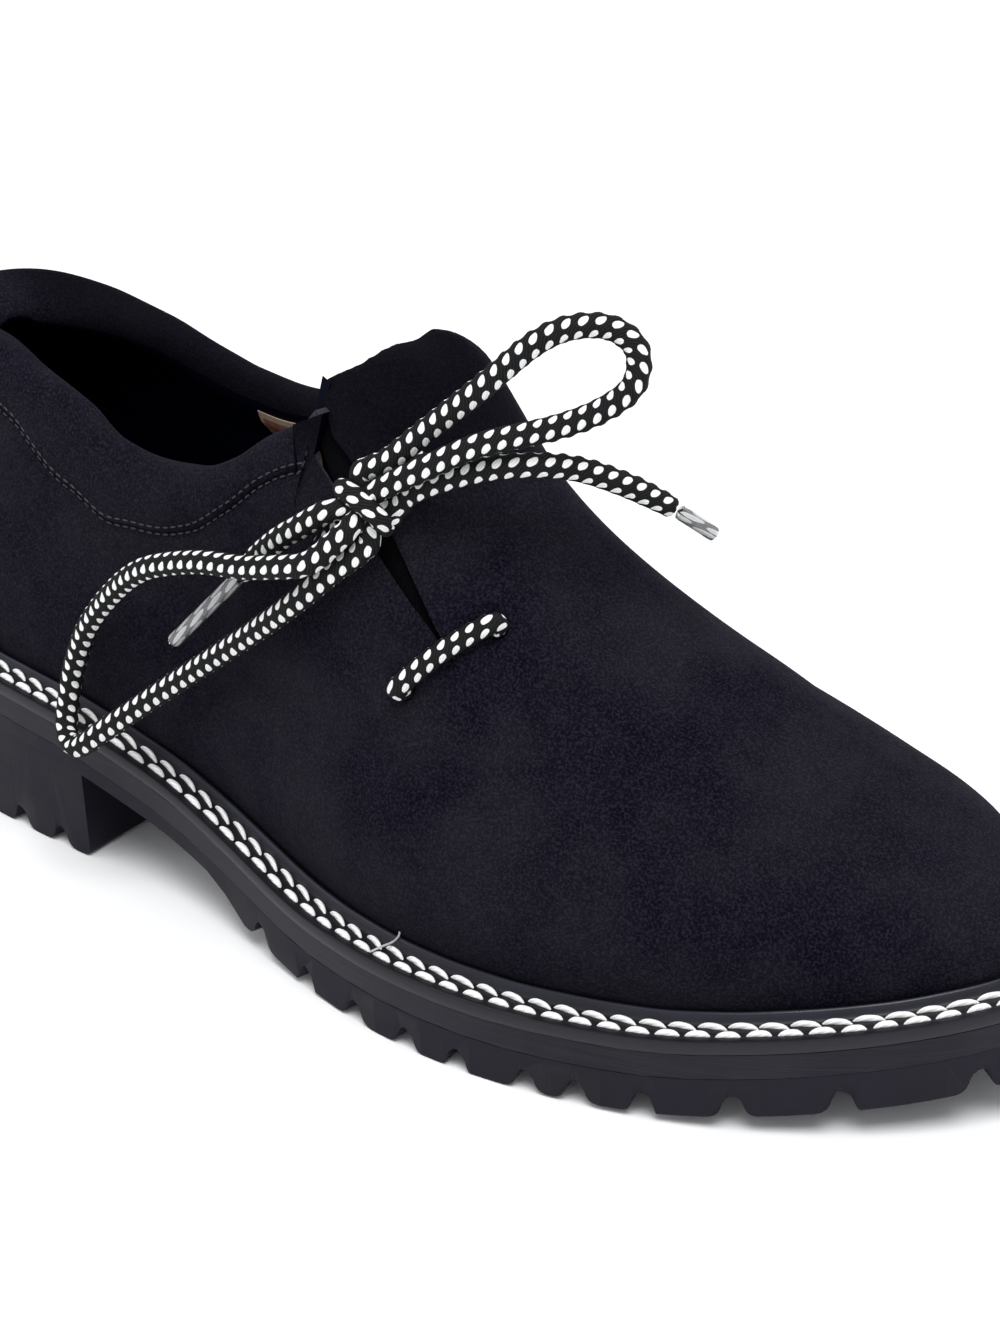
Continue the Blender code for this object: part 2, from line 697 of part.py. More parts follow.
def along_spokes(last, spokes, share):
    """Stations and girths at a share of each spoke from the seat to the opening.

    Over the quarters a spoke is straight in station and girth. Towards the toe it fans out
    from the tip, where the sections close.
    """
    x, girth, top, top_girth, forward = spokes.T
    plain = np.stack([x + (top - x) * share, girth + (top_girth - girth) * share])
    low, high = np.sqrt(last.toe - x), np.sqrt(last.toe - top)
    low, high = low * np.exp(1j * np.pi * girth), high * np.exp(1j * np.pi * top_girth)
    line = low + (high - low) * share
    fan = np.stack([last.toe - np.abs(line) ** 2, np.angle(line) % (2 * np.pi) / np.pi])
    fan[1] = np.where(share == 0, girth, fan[1])
    return plain + (fan - plain) * forward


def slit_place(step):
    """Station and girth of the slit's middle line, from the top line at 0 to its lower end at 1."""
    return float(SLIT.read("along", step)) * LENGTH, float(SLIT.read("girth", step))


def slit_cutter(last, collection):
    """A ribbon along the slit of the side lacing, through the upper's wall."""
    sections = []
    for step in np.linspace(0, 1, 22):
        x, girth = slit_place(step)
        out = last.outward(x, girth)
        middle = last.at(x, girth)
        ahead = last.at(*slit_place(min(1.0, step + 0.02))) - last.at(*slit_place(max(0.0, step - 0.02)))
        across = np.cross(out, ahead)
        across *= float(SLIT.read("width", step)) / 2 / np.linalg.norm(across)
        deep = CUTTER_REACH * out
        sections.append([
            middle + side + lift
            for side, lift in ((-across, -deep), (across, -deep), (across, deep), (-across, deep))
        ])
    item = loft("slit", sections, collection)
    item.display_type = "WIRE"
    item.hide_render = True
    return item


def hole_cutter(last, name, collection):
    """A round punch through the wall at one lace hole."""
    along, girth = HOLES[name]
    middle = last.at(along * LENGTH, girth)
    out = last.outward(along * LENGTH, girth)
    side = np.cross(out, (0.0, 0.0, 1.0))
    side /= np.linalg.norm(side)
    up = np.cross(side, out)
    turn = np.linspace(0, 2 * math.pi, 16, endpoint=False)
    ring = np.outer(np.cos(turn), side) + np.outer(np.sin(turn), up)
    sections = [middle + ring * HOLE_DIAMETER / 2 + out * lift for lift in (-CUTTER_REACH, CUTTER_REACH)]
    item = loft("hole_" + name, sections, collection)
    item.display_type = "WIRE"
    item.hide_render = True
    return item


def make_upper(last, collection, cutters, material):
    """The suede shell: an open loft from the seat to the opening, thickened inward."""
    spokes = upper_spokes(last)
    rings = []
    for i in range(UPPER_ROWS + 1):
        share = (1 - math.cos(math.pi * i / UPPER_ROWS)) / 2
        rings.append(last.at(*along_spokes(last, spokes, share)))
    rings = np.array(rings)
    lean = np.cross(np.roll(rings[0], -1, axis=0) - np.roll(rings[0], 1, axis=0), rings[1] - rings[0])
    lean = np.clip(lean[:, 2] / np.linalg.norm(lean, axis=1), 0, None)
    rings[0][:, 2] = welt_top(rings[0][:, 0]) + GAP + WALL * lean
    count = len(spokes)
    faces = []
    for i in range(UPPER_ROWS):
        for j in range(count):
            k = (j + 1) % count
            faces.append((i * count + j, i * count + k, (i + 1) * count + k, (i + 1) * count + j))
    upper = mesh_object("upper", rings.reshape(-1, 3), faces, collection, material, solid=False)
    shell = upper.modifiers.new("wall", "SOLIDIFY")
    shell.thickness = WALL * MM
    shell.offset = -1.0
    shell.use_quality_normals = True
    boolean(upper, slit_cutter(last, cutters))
    for name in HOLES:
        boolean(upper, hole_cutter(last, name, cutters))
    return upper


# The padded collar's section: height from its seam to the top line, and distance out of the
# upper's surface as a share of COLLAR_PAD
COLLAR_SECTION = Table("up out", (
    (0.05, 0.00),
    (0.10, 0.14),
    (0.38, 0.22),
    (0.70, 0.20),
    (0.90, 0.04),
    (1.00, -0.24),
    (1.01, -0.52),
    (0.93, -0.78),
    (0.72, -0.90),
    (0.42, -0.78),
    (0.16, -0.46),
    (0.05, -0.32),
))


def collar_places(last):
    """Stations of the collar from its outer front end, round the heel, to its inner end."""
    for step in np.linspace(-1, 1, 2 * COLLAR_STEPS + 1):
        x = last.back + (COLLAR_FRONT * LENGTH - last.back) * step**2
        yield x, step > 0


def collar_sections(last, places, table, unit):
    """Sections across the collar: a table's shares of its height, and distances out in units."""
    seams, tops = [], []
    for x, inner in places:
        seam, top = collar_row(last, x, inner)
        seams.append(last.at(x, seam))
        tops.append(last.at(x, top))
    seams, tops = np.array(seams), np.array(tops)
    up = tops - seams
    ahead = np.gradient((seams + tops) / 2, axis=0)
    out = np.cross(up, ahead)
    out /= np.linalg.norm(out, axis=1)[:, None]
    return np.stack([seams + up * share + out * depth * unit for share, depth in table.rows], axis=1)


def make_collar(last, collection, material):
    sections = collar_sections(last, collar_places(last), COLLAR_SECTION, COLLAR_PAD)
    loft("collar", sections, collection, material, angle=60.0)


# Reach of the gusset to either side of the slit's middle line, as shares of the girth
GUSSET = Table("step quarter vamp", (
    (0.160, 0.0063, 0.0180),
    (0.400, 0.0208, 0.0260),
    (0.500, 0.0260, 0.0260),
    (0.800, 0.0260, 0.0260),
    (1.000, 0.0200, 0.0200),
))
GUSSET_POINTS = 6


def make_tongue(last, collection, material):
    """The thin gusset behind the slit, a little wider than it."""
    depth = WALL + 1.5 * GAP
    rows = []
    for step in np.linspace(GUSSET.rows[0, 0], 1.0, 12):
        x, girth = slit_place(step)
        across = girth + np.linspace(-GUSSET.read("quarter", step), GUSSET.read("vamp", step), GUSSET_POINTS)
        x = np.full(GUSSET_POINTS, x)
        outer = last.lifted(x, across, np.full(GUSSET_POINTS, -depth))
        inner = last.lifted(x, across, np.full(GUSSET_POINTS, -depth - TONGUE_THICKNESS))
        rows.append(np.vstack([outer, inner[::-1]]))
    loft("tongue", rows, collection, material)


# The label on the lining of the inner side: height as a share of the collar's depth from its
# seam, and millimetres in from the upper's outer surface
LABEL_SECTION = Table("up out", (
    (0.50, -5.5),
    (0.30, -4.9),
    (0.12, -3.7),
    (-0.05, -2.8),
    (-0.45, -2.8),
    (-0.45, -3.4),
    (-0.05, -3.4),
    (0.12, -4.3),
    (0.30, -5.5),
    (0.50, -6.1),
))


def make_label(last, collection, material):
    """The small bare leather label on the lining at the inner side."""
    middle = LABEL_MIDDLE * LENGTH
    places = [(middle + LABEL_LENGTH * share, True) for share in np.linspace(-0.5, 0.5, 5)]
    loft("inner_label", collar_sections(last, places, LABEL_SECTION, 1.0), collection, material)


def curve_points(route, spacing):
    """Points at equal steps on a smooth curve through a route."""
    route = np.array(route, float)
    padded = np.vstack([2 * route[0] - route[1], route, 2 * route[-1] - route[-2]])
    fine = []
    for i in range(1, len(padded) - 2):
        a, b, c, d = padded[i - 1 : i + 3]
        for t in np.linspace(0, 1, 24, endpoint=False):
            bend = (2 * a - 5 * b + 4 * c - d) * t**2 + (3 * b - a - 3 * c + d) * t**3
            fine.append(0.5 * (2 * b + (c - a) * t + bend))
    fine.append(padded[-2])
    fine = np.array(fine)
    length = np.concatenate([[0], np.cumsum(np.linalg.norm(np.diff(fine, axis=0), axis=1))])
    count = max(2, round(length[-1] / spacing) + 1)
    even = np.linspace(0, length[-1], count)
    return np.stack([np.interp(even, length, fine[:, k]) for k in range(3)], axis=1)


def cord(name, points, diameter, collection, material):
    """A round cord of one diameter through points in millimetres, as a curve with filled caps."""
    data = bpy.data.curves.new(name, "CURVE")
    data.dimensions = "3D"
    data.bevel_depth = diameter / 2 * MM
    data.bevel_resolution = 2
    data.use_fill_caps = True
    spline = data.splines.new("POLY")
    spline.points.add(len(points) - 1)
    for place, point in zip(spline.points, in_metres(points)):
        place.co = (*point, 1.0)
    spline.use_smooth = True
    data.materials.append(material)
    item = bpy.data.objects.new(name, data)
    collection.objects.link(item)
    return item


def bar_route(last):
    """The lace from the knot down through the quarter's holes, over the slit, and back up."""
    inside = -WALL - GAP - BAR_CLEARANCE - BAR_DIAMETER / 2
    over = GAP + BAR_CLEARANCE + BAR_DIAMETER / 2
    middle, axes = knot_frame(last)

    def step(start, end, share, lift):
        place = np.array(HOLES[start]) * (1 - share) + np.array(HOLES[end]) * share
        return last.lifted(place[0] * LENGTH, place[1], lift)

    def through(start, end, outward):
        """The lace's turn at a hole, straight through the wall, and the points beside it."""
        turn = [
            step(start, end, 0.11, over + BAR_CLEARANCE),
            step(start, end, -0.01, WALL / 3),
            step(start, end, 0.0, -1.5 * WALL),
        ]
        return turn[::-1] if outward else turn

    def behind(start, end):
        return [step(start, end, share, inside - GAP) for share in (0.15, 0.50, 0.85)]

    route = [middle + BAR_START @ axes]
    route += through("quarter_upper", "vamp_upper", False)
    route += behind("quarter_upper", "quarter_lower")
    route += through("quarter_lower", "vamp_lower", True)
    route.append(step("quarter_lower", "vamp_lower", 0.50, over))
    route += through("vamp_lower", "quarter_lower", False)
    route += behind("vamp_lower", "vamp_upper")
    route += through("vamp_upper", "quarter_upper", True)
    route.append(middle + BAR_END @ axes)
    return route


def knot_frame(last):
    """The knot's place on the upper, and its directions across the slit, down it and out."""
    middle = last.at(KNOT_PLACE[0] * LENGTH, KNOT_PLACE[1])
    out = last.outward(KNOT_PLACE[0] * LENGTH, KNOT_PLACE[1])
    ends = [last.at(HOLES[name][0] * LENGTH, HOLES[name][1]) for name in ("quarter_upper", "vamp_upper")]
    across = ends[1] - ends[0]
    across -= out * (across @ out)
    across /= np.linalg.norm(across)
    return middle, np.array([across, np.cross(across, out), out])


def make_knot(last, collection, material):
    """The bow's knot, as one rounded block of its outer shape."""
    middle, axes = knot_frame(last)
    bpy.ops.mesh.primitive_cube_add(size=MM)
    knot = bpy.context.object
    knot.name = "lace_knot"
    for point in knot.data.vertices:
        point.co = [value * side for value, side in zip(point.co, KNOT_SIZE)]
    matrix = np.eye(4)
    matrix[:3, :3] = axes.T * (1, -1, 1)
    matrix[:3, 3] = in_metres(middle + KNOT_CENTRE @ axes)
    knot.matrix_world = matrix.T.tolist()
    rounding = knot.modifiers.new("rounding", "BEVEL")
    rounding.width = KNOT_ROUNDING * MM
    rounding.segments = 3
    knot.data.shade_smooth()
    knot.data.materials.append(material)
    for home in list(knot.users_collection):
        home.objects.unlink(knot)
    collection.objects.link(knot)


def make_lace(last, collection, weave, plastic):
    shift = knot_frame(last)[0] - KNOT_HOME
    cord("lace_bars", curve_points(bar_route(last), BAR_SPACING), BAR_DIAMETER, collection, weave)
    free = {
        "lace_loop_left": LOOP_LEFT,
        "lace_loop_right": LOOP_RIGHT,
        "lace_end_left": END_LEFT,
        "lace_end_right": END_RIGHT,
    }
    for name, route in free.items():
        cord(name, curve_points(route, LACE_DIAMETER * 1.8) + shift, LACE_DIAMETER, collection, weave)
    cord("aglet_left", AGLET_LEFT + shift, AGLET_DIAMETER, collection, plastic)
    cord("aglet_right", AGLET_RIGHT + shift, AGLET_DIAMETER, collection, plastic)
    make_knot(last, collection, weave)


def main():
    clear_scene()
    shoe = new_collection("folk_shoe_right")
    cutters = new_collection("cutters", hidden=True)
    suede = new_material("black_suede", (0.012, 0.011, 0.018), 0.95)
    padding = new_material("padded_suede", (0.016, 0.015, 0.021), 0.95)
    lining = new_material("dark_lining", (0.010, 0.011, 0.018), 0.90)
    rubber = new_material("black_rubber", (0.020, 0.019, 0.026), 0.60)
    charcoal = new_material("charcoal_midsole", (0.034, 0.031, 0.035), 0.55)
    welt_leather = new_material("black_welt", (0.022, 0.020, 0.027), 0.35)
    tan = new_material("tan_label", (0.42, 0.20, 0.14), 0.70)
    weave = new_material("woven_lace", (0.10, 0.10, 0.10), 0.80)
    plastic = new_material("clear_aglet", (0.60, 0.60, 0.62), 0.20)

    last = Last()
    make_sole(shoe, cutters, rubber, charcoal, welt_leather)
    make_insole(shoe, lining)
    make_upper(last, shoe, cutters, suede)
    make_collar(last, shoe, padding)
    make_tongue(last, shoe, lining)
    make_label(last, shoe, tan)
    make_lace(last, shoe, weave, plastic)


main()
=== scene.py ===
"""Looks of a black suede folk shoe, laced at its outer side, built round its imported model.

Lengths are millimetres from the back of the heel, as the shoe's maker measures them, until
in_metres() moves them to the middle of the sole: X to the toe, Y to the inner side of the foot,
Z up from the floor. A place on the upper is its station X and its share of the girth, from 0 at
the outer seat over the ridge to 1 at the inner seat.
"""

import logging
import math
from dataclasses import dataclass
from enum import Enum
from typing import Callable, Sequence

import bpy
import numpy as np
from mathutils import Matrix, Vector


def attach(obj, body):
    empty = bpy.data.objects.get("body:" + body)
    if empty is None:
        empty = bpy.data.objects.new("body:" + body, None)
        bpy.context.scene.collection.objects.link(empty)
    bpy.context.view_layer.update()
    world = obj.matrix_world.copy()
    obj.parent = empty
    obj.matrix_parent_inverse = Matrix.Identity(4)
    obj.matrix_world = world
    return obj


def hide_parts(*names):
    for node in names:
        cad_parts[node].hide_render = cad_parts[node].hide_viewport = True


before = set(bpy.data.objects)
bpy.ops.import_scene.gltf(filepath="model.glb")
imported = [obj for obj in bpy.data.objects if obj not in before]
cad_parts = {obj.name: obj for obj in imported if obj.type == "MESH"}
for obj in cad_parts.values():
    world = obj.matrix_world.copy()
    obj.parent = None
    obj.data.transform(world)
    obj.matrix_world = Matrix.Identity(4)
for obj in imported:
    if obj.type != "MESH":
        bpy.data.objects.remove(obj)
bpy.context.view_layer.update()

log = logging.getLogger("folk_shoe")

# Short names of the types that many hints need
Array = np.ndarray
Number = float | np.ndarray
Triple = tuple[float, float, float]
Piece = bpy.types.Object
Socket = bpy.types.NodeSocket
Material = bpy.types.Material

MM = 0.001
BODY = "root"

# Sizes that the whole shoe shares
LENGTH = 306.0
BALL_WIDTH = 107.2
BALL_EDGE_HEIGHT = 17.0
BACK_HEIGHT = 107.0
WALL = 2.0


class Slot(Enum):
    """The record's material slots, named for the dressed pieces."""

    SUEDE = "suede"
    PADDED = "padded_suede"
    LABEL = "label"
    WELT = "welt"
    MIDSOLE = "midsole"
    RUBBER = "rubber"
    LACE = "lace"
    AGLET = "aglet"


class Side(Enum):
    """The two sides of the shoe, each with its end of the girth."""

    OUTER = 0.0
    INNER = 1.0


class Table:
    """Rows of named columns, read by a smooth curve that never passes its rows."""

    def __init__(self, columns: str, rows: Sequence[Sequence[float]]) -> None:
        """Keeps the rows under the names of their columns."""
        self.names = columns.split()
        self.rows = np.array(rows, float)

    def column(self, name: str) -> Array:
        """All values of one column."""
        return self.rows[:, self.names.index(name)]

    def read(self, name: str, at: Number) -> Array:
        """A column's value at places of the first column."""
        return smooth_read(self.rows[:, 0], self.column(name), at)


# Shares of LENGTH and of BALL_WIDTH
OUTLINE = Table("along outer inner", (
    (0.000, 0.000, 0.000),
    (0.020, 0.187, 0.187),
    (0.059, 0.294, 0.289),
    (0.118, 0.327, 0.341),
    (0.196, 0.350, 0.350),
    (0.294, 0.364, 0.308),
    (0.392, 0.371, 0.261),
    (0.490, 0.429, 0.275),
    (0.588, 0.485, 0.369),
    (0.667, 0.492, 0.462),
    (0.745, 0.457, 0.509),
    (0.824, 0.389, 0.504),
    (0.902, 0.269, 0.443),
    (0.954, 0.149, 0.336),
))
TOE_POINT_INWARD = 0.093

# Height of the welt's upper face over the floor, as shares of LENGTH and of BALL_EDGE_HEIGHT
PITCH = Table("along height", (
    (0.000, 2.424),
    (0.098, 2.271),
    (0.265, 2.076),
    (0.353, 1.741),
    (0.441, 1.329),
    (0.539, 1.035),
    (0.608, 1.000),
    (0.686, 1.000),
    (0.784, 1.065),
    (0.863, 1.225),
    (1.000, 1.590),
))

# Sections of the last: place along LENGTH, ridge height over the floor and its offset inward as
# shares of BALL_WIDTH, roundness of the width and of the height, and the wall's bulge
SECTIONS = Table("along ridge offset wide high bulge", (
    (0.023, 1.150, 0.000, 2.2, 4.5, 1.5),
    (0.131, 1.130, 0.000, 2.1, 4.0, 2.0),
    (0.261, 1.165, 0.000, 2.1, 3.8, 2.5),
    (0.359, 1.231, 0.009, 2.1, 3.2, 3.0),
    (0.458, 1.250, 0.019, 2.1, 2.6, 3.5),
    (0.507, 1.239, 0.024, 2.1, 2.4, 3.8),
    (0.539, 1.185, 0.028, 2.1, 2.3, 4.0),
    (0.605, 0.933, 0.037, 2.2, 2.2, 4.0),
    (0.670, 0.756, 0.047, 2.3, 2.2, 4.0),
    (0.752, 0.616, 0.056, 2.4, 2.2, 4.0),
    (0.833, 0.504, 0.065, 2.4, 2.2, 3.5),
    (0.899, 0.448, 0.075, 2.4, 2.2, 3.0),
    (0.971, 0.410, 0.084, 2.4, 2.2, 2.0),
))

# Top line of the collar, as shares of LENGTH and of BACK_HEIGHT
TOP_LINE = Table("along outer inner", (
    (0.023, 1.045, 1.045),
    (0.131, 1.035, 1.015),
    (0.203, 1.005, 0.975),
    (0.278, 0.962, 0.938),
    (0.317, 0.912, 0.931),
    (0.353, 0.897, 0.931),
    (0.392, 0.908, 0.940),
    (0.425, 0.950, 0.965),
    (0.458, 1.018, 1.009),
    (0.478, 1.046, 1.038),
    (0.490, 1.054, 1.056),
))

# Depth of the collar's band under its top line: share of LENGTH, millimetres
COLLAR_DEPTH = Table("along outer inner", (
    (0.023, 10.0, 10.0),
    (0.100, 10.0, 10.5),
    (0.204, 11.0, 12.0),
    (0.272, 17.0, 13.5),
    (0.308, 16.8, 14.0),
    (0.341, 14.6, 14.0),
    (0.368, 13.8, 13.5),
    (0.392, 12.3, 12.5),
    (0.423, 10.2, 11.5),
    (0.453, 9.4, 10.5),
    (0.478, 8.8, 9.5),
    (0.490, 8.0, 9.5),
))

# Edge of the vamp's lip over the instep: share of the girth, share of LENGTH
LIP = Table("girth along", (
    (0.418, 0.483),
    (0.450, 0.508),
    (0.480, 0.521),
    (0.512, 0.531),
    (0.542, 0.530),
    (0.572, 0.516),
    (0.610, 0.483),
))

# How far the leather beside the lip turns out: share of the girth, millimetres
LIP_TURN = Table("girth lift", (
    (0.37, 0.0),
    (0.41, -1.8),
    (0.45, -2.0),
    (0.50, -1.5),
    (0.54, 0.1),
    (0.59, 1.8),
    (0.66, 0.0),
))

# Slit of the side lacing, from the top line down: its middle line and its width in millimetres
SLIT = Table("step along girth width", (
    (0.00, 0.466, 0.425, 5.0),
    (0.12, 0.4855, 0.398, 4.4),
    (0.20, 0.495, 0.386, 4.8),
    (0.30, 0.504, 0.3735, 5.6),
    (0.42, 0.522, 0.3636, 6.4),
    (0.62, 0.558, 0.350, 4.8),
    (0.78, 0.589, 0.339, 2.4),
    (0.88, 0.606, 0.331, 0.9),
    (1.00, 0.622, 0.319, 0.7),
))


def smooth_read(places: Sequence[float], values: Sequence[float], at: Number) -> Array:
    """Monotone cubic curve through rows, held level past its ends.

    Args:
        places: Rising places of the rows.
        values: The value at each place.
        at: Where to read the curve.

    Returns:
        The curve's values.
    """
    places, values = np.asarray(places, float), np.asarray(values, float)
    steps = np.diff(places)
    rises = np.diff(values) / steps
    slopes = np.zeros(len(places))
    for i in range(1, len(places) - 1):
        if rises[i - 1] * rises[i] > 0:
            near = 2 * steps[i] + steps[i - 1]
            far = steps[i] + 2 * steps[i - 1]
            slopes[i] = (near + far) / (near / rises[i - 1] + far / rises[i])
    slopes[0], slopes[-1] = rises[0], rises[-1]
    at = np.clip(at, places[0], places[-1])
    i = np.clip(np.searchsorted(places, at) - 1, 0, len(places) - 2)
    t = (at - places[i]) / steps[i]
    return (
        (2 * t**3 - 3 * t**2 + 1) * values[i]
        + (t**3 - 2 * t**2 + t) * steps[i] * slopes[i]
        + (3 * t**2 - 2 * t**3) * values[i + 1]
        + (t**3 - t**2) * steps[i] * slopes[i + 1]
    )


def closed_curve(points: Array, count: int) -> Array:
    """Closed cubic spline through points.

    Args:
        points: The points, in order, without the first repeated.
        count: How many points to read at equal steps.

    Returns:
        The points read.
    """
    points = np.array(points, float)
    total = len(points)
    steps = np.linalg.norm(np.roll(points, -1, axis=0) - points, axis=1)
    matrix = np.zeros((total, total))
    right = np.zeros((total, points.shape[1]))
    for i in range(total):
        before, after = i - 1, (i + 1) % total
        matrix[i, before] += steps[before]
        matrix[i, i] += 2 * (steps[before] + steps[i])
        matrix[i, after] += steps[i]
        rise = (points[after] - points[i]) / steps[i]
        right[i] = 6 * (rise - (points[i] - points[before]) / steps[before])
    bend = np.linalg.solve(matrix, right)
    ends = np.concatenate([[0], np.cumsum(steps)])
    along = np.linspace(0, ends[-1], count, endpoint=False)
    i = np.clip(np.searchsorted(ends, along, side="right") - 1, 0, total - 1)
    j = (i + 1) % total
    step = steps[i][:, None]
    t = (along - ends[i])[:, None]
    u = step - t
    return (
        bend[i] * u**3 / (6 * step)
        + bend[j] * t**3 / (6 * step)
        + (points[i] / step - bend[i] * step / 6) * u
        + (points[j] / step - bend[j] * step / 6) * t
    )


def open_curve(route: Sequence[Sequence[float]], spacing: float) -> Array:
    """Points at equal steps on a smooth curve through a route.

    Args:
        route: The points that the curve passes, in order.
        spacing: The step along the curve.

    Returns:
        The points read.
    """
    route = np.array(route, float)
    padded = np.vstack([2 * route[0] - route[1], route, 2 * route[-1] - route[-2]])
    fine = []
    for i in range(1, len(padded) - 2):
        a, b, c, d = padded[i - 1 : i + 3]
        for t in np.linspace(0, 1, 24, endpoint=False):
            bend = (2 * a - 5 * b + 4 * c - d) * t**2 + (3 * b - a - 3 * c + d) * t**3
            fine.append(0.5 * (2 * b + (c - a) * t + bend))
    fine.append(padded[-2])
    return even_steps(np.array(fine), spacing)


def even_steps(points: Array, spacing: float) -> Array:
    """A polyline read again at equal steps of about one spacing."""
    return even_steps_in(points, max(1, round(lengths_along(points)[-1] / spacing)))


def lengths_along(points: Array) -> Array:
    """Length of a polyline from its start to each of its points."""
    return np.concatenate([[0], np.cumsum(np.linalg.norm(np.diff(points, axis=0), axis=1))])


def unit(vectors: Array) -> Array:
    """Vectors made one long."""
    return vectors / np.linalg.norm(vectors, axis=-1, keepdims=True)


def sole_outline(count: int = 720) -> Array:
    """The welt's outer edge in plan, from the heel along the outer side and back along the inner."""
    along = OUTLINE.column("along") * LENGTH
    outer = np.stack([along, -OUTLINE.column("outer") * BALL_WIDTH], axis=1)
    inner = np.stack([along, OUTLINE.column("inner") * BALL_WIDTH], axis=1)[1:]
    tip = [[LENGTH, TOE_POINT_INWARD * BALL_WIDTH]]
    return closed_curve(np.vstack([outer, tip, inner[::-1]]), count)


def sole_middle() -> Array:
    """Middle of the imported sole's box on the floor, in the shoe's millimetres."""
    edge = sole_outline(72)
    return np.append((edge.min(axis=0) + edge.max(axis=0)) / 2, 0.0)


MIDDLE = sole_middle()


def in_metres(points: Array) -> Array:
    """Points in metres from the middle of the sole's box on the floor."""
    return (np.asarray(points, float) - MIDDLE) * MM


def rim(x: Array) -> Array:
    """Width of the welt that shows outside the upper."""
    return np.interp(x / LENGTH, (0.0, 0.2, 0.5, 1.0), (7.6, 8.2, 9.4, 9.4))


def inset(loop: Array, depth: Number) -> Array:
    """A closed outline moved inward by a depth, or by one depth for each point."""
    return loop + inward_of(loop) * np.reshape(depth, (-1, 1))


def inward_of(loop: Array) -> Array:
    """Unit directions into a closed outline at each of its points."""
    ahead = np.roll(loop, -1, axis=0) - np.roll(loop, 1, axis=0)
    return unit(np.stack([-ahead[:, 1], ahead[:, 0]], axis=1))


def sides(loop: Array, x: Number) -> tuple[Array, Array]:
    """Outer and inner Y of a closed outline at each X."""
    first, last = loop[:, 0].argmin(), loop[:, 0].argmax()
    turned = np.roll(loop, -first, axis=0)
    half = (last - first) % len(loop)
    outer = turned[: half + 1]
    inner = np.vstack([turned[half:], turned[:1]])[::-1]
    return np.interp(x, outer[:, 0], outer[:, 1]), np.interp(x, inner[:, 0], inner[:, 1])


def welt_top(x: Number) -> Array:
    """Height of the welt's upper face over the floor."""
    return PITCH.read("height", np.asarray(x) / LENGTH) * BALL_EDGE_HEIGHT


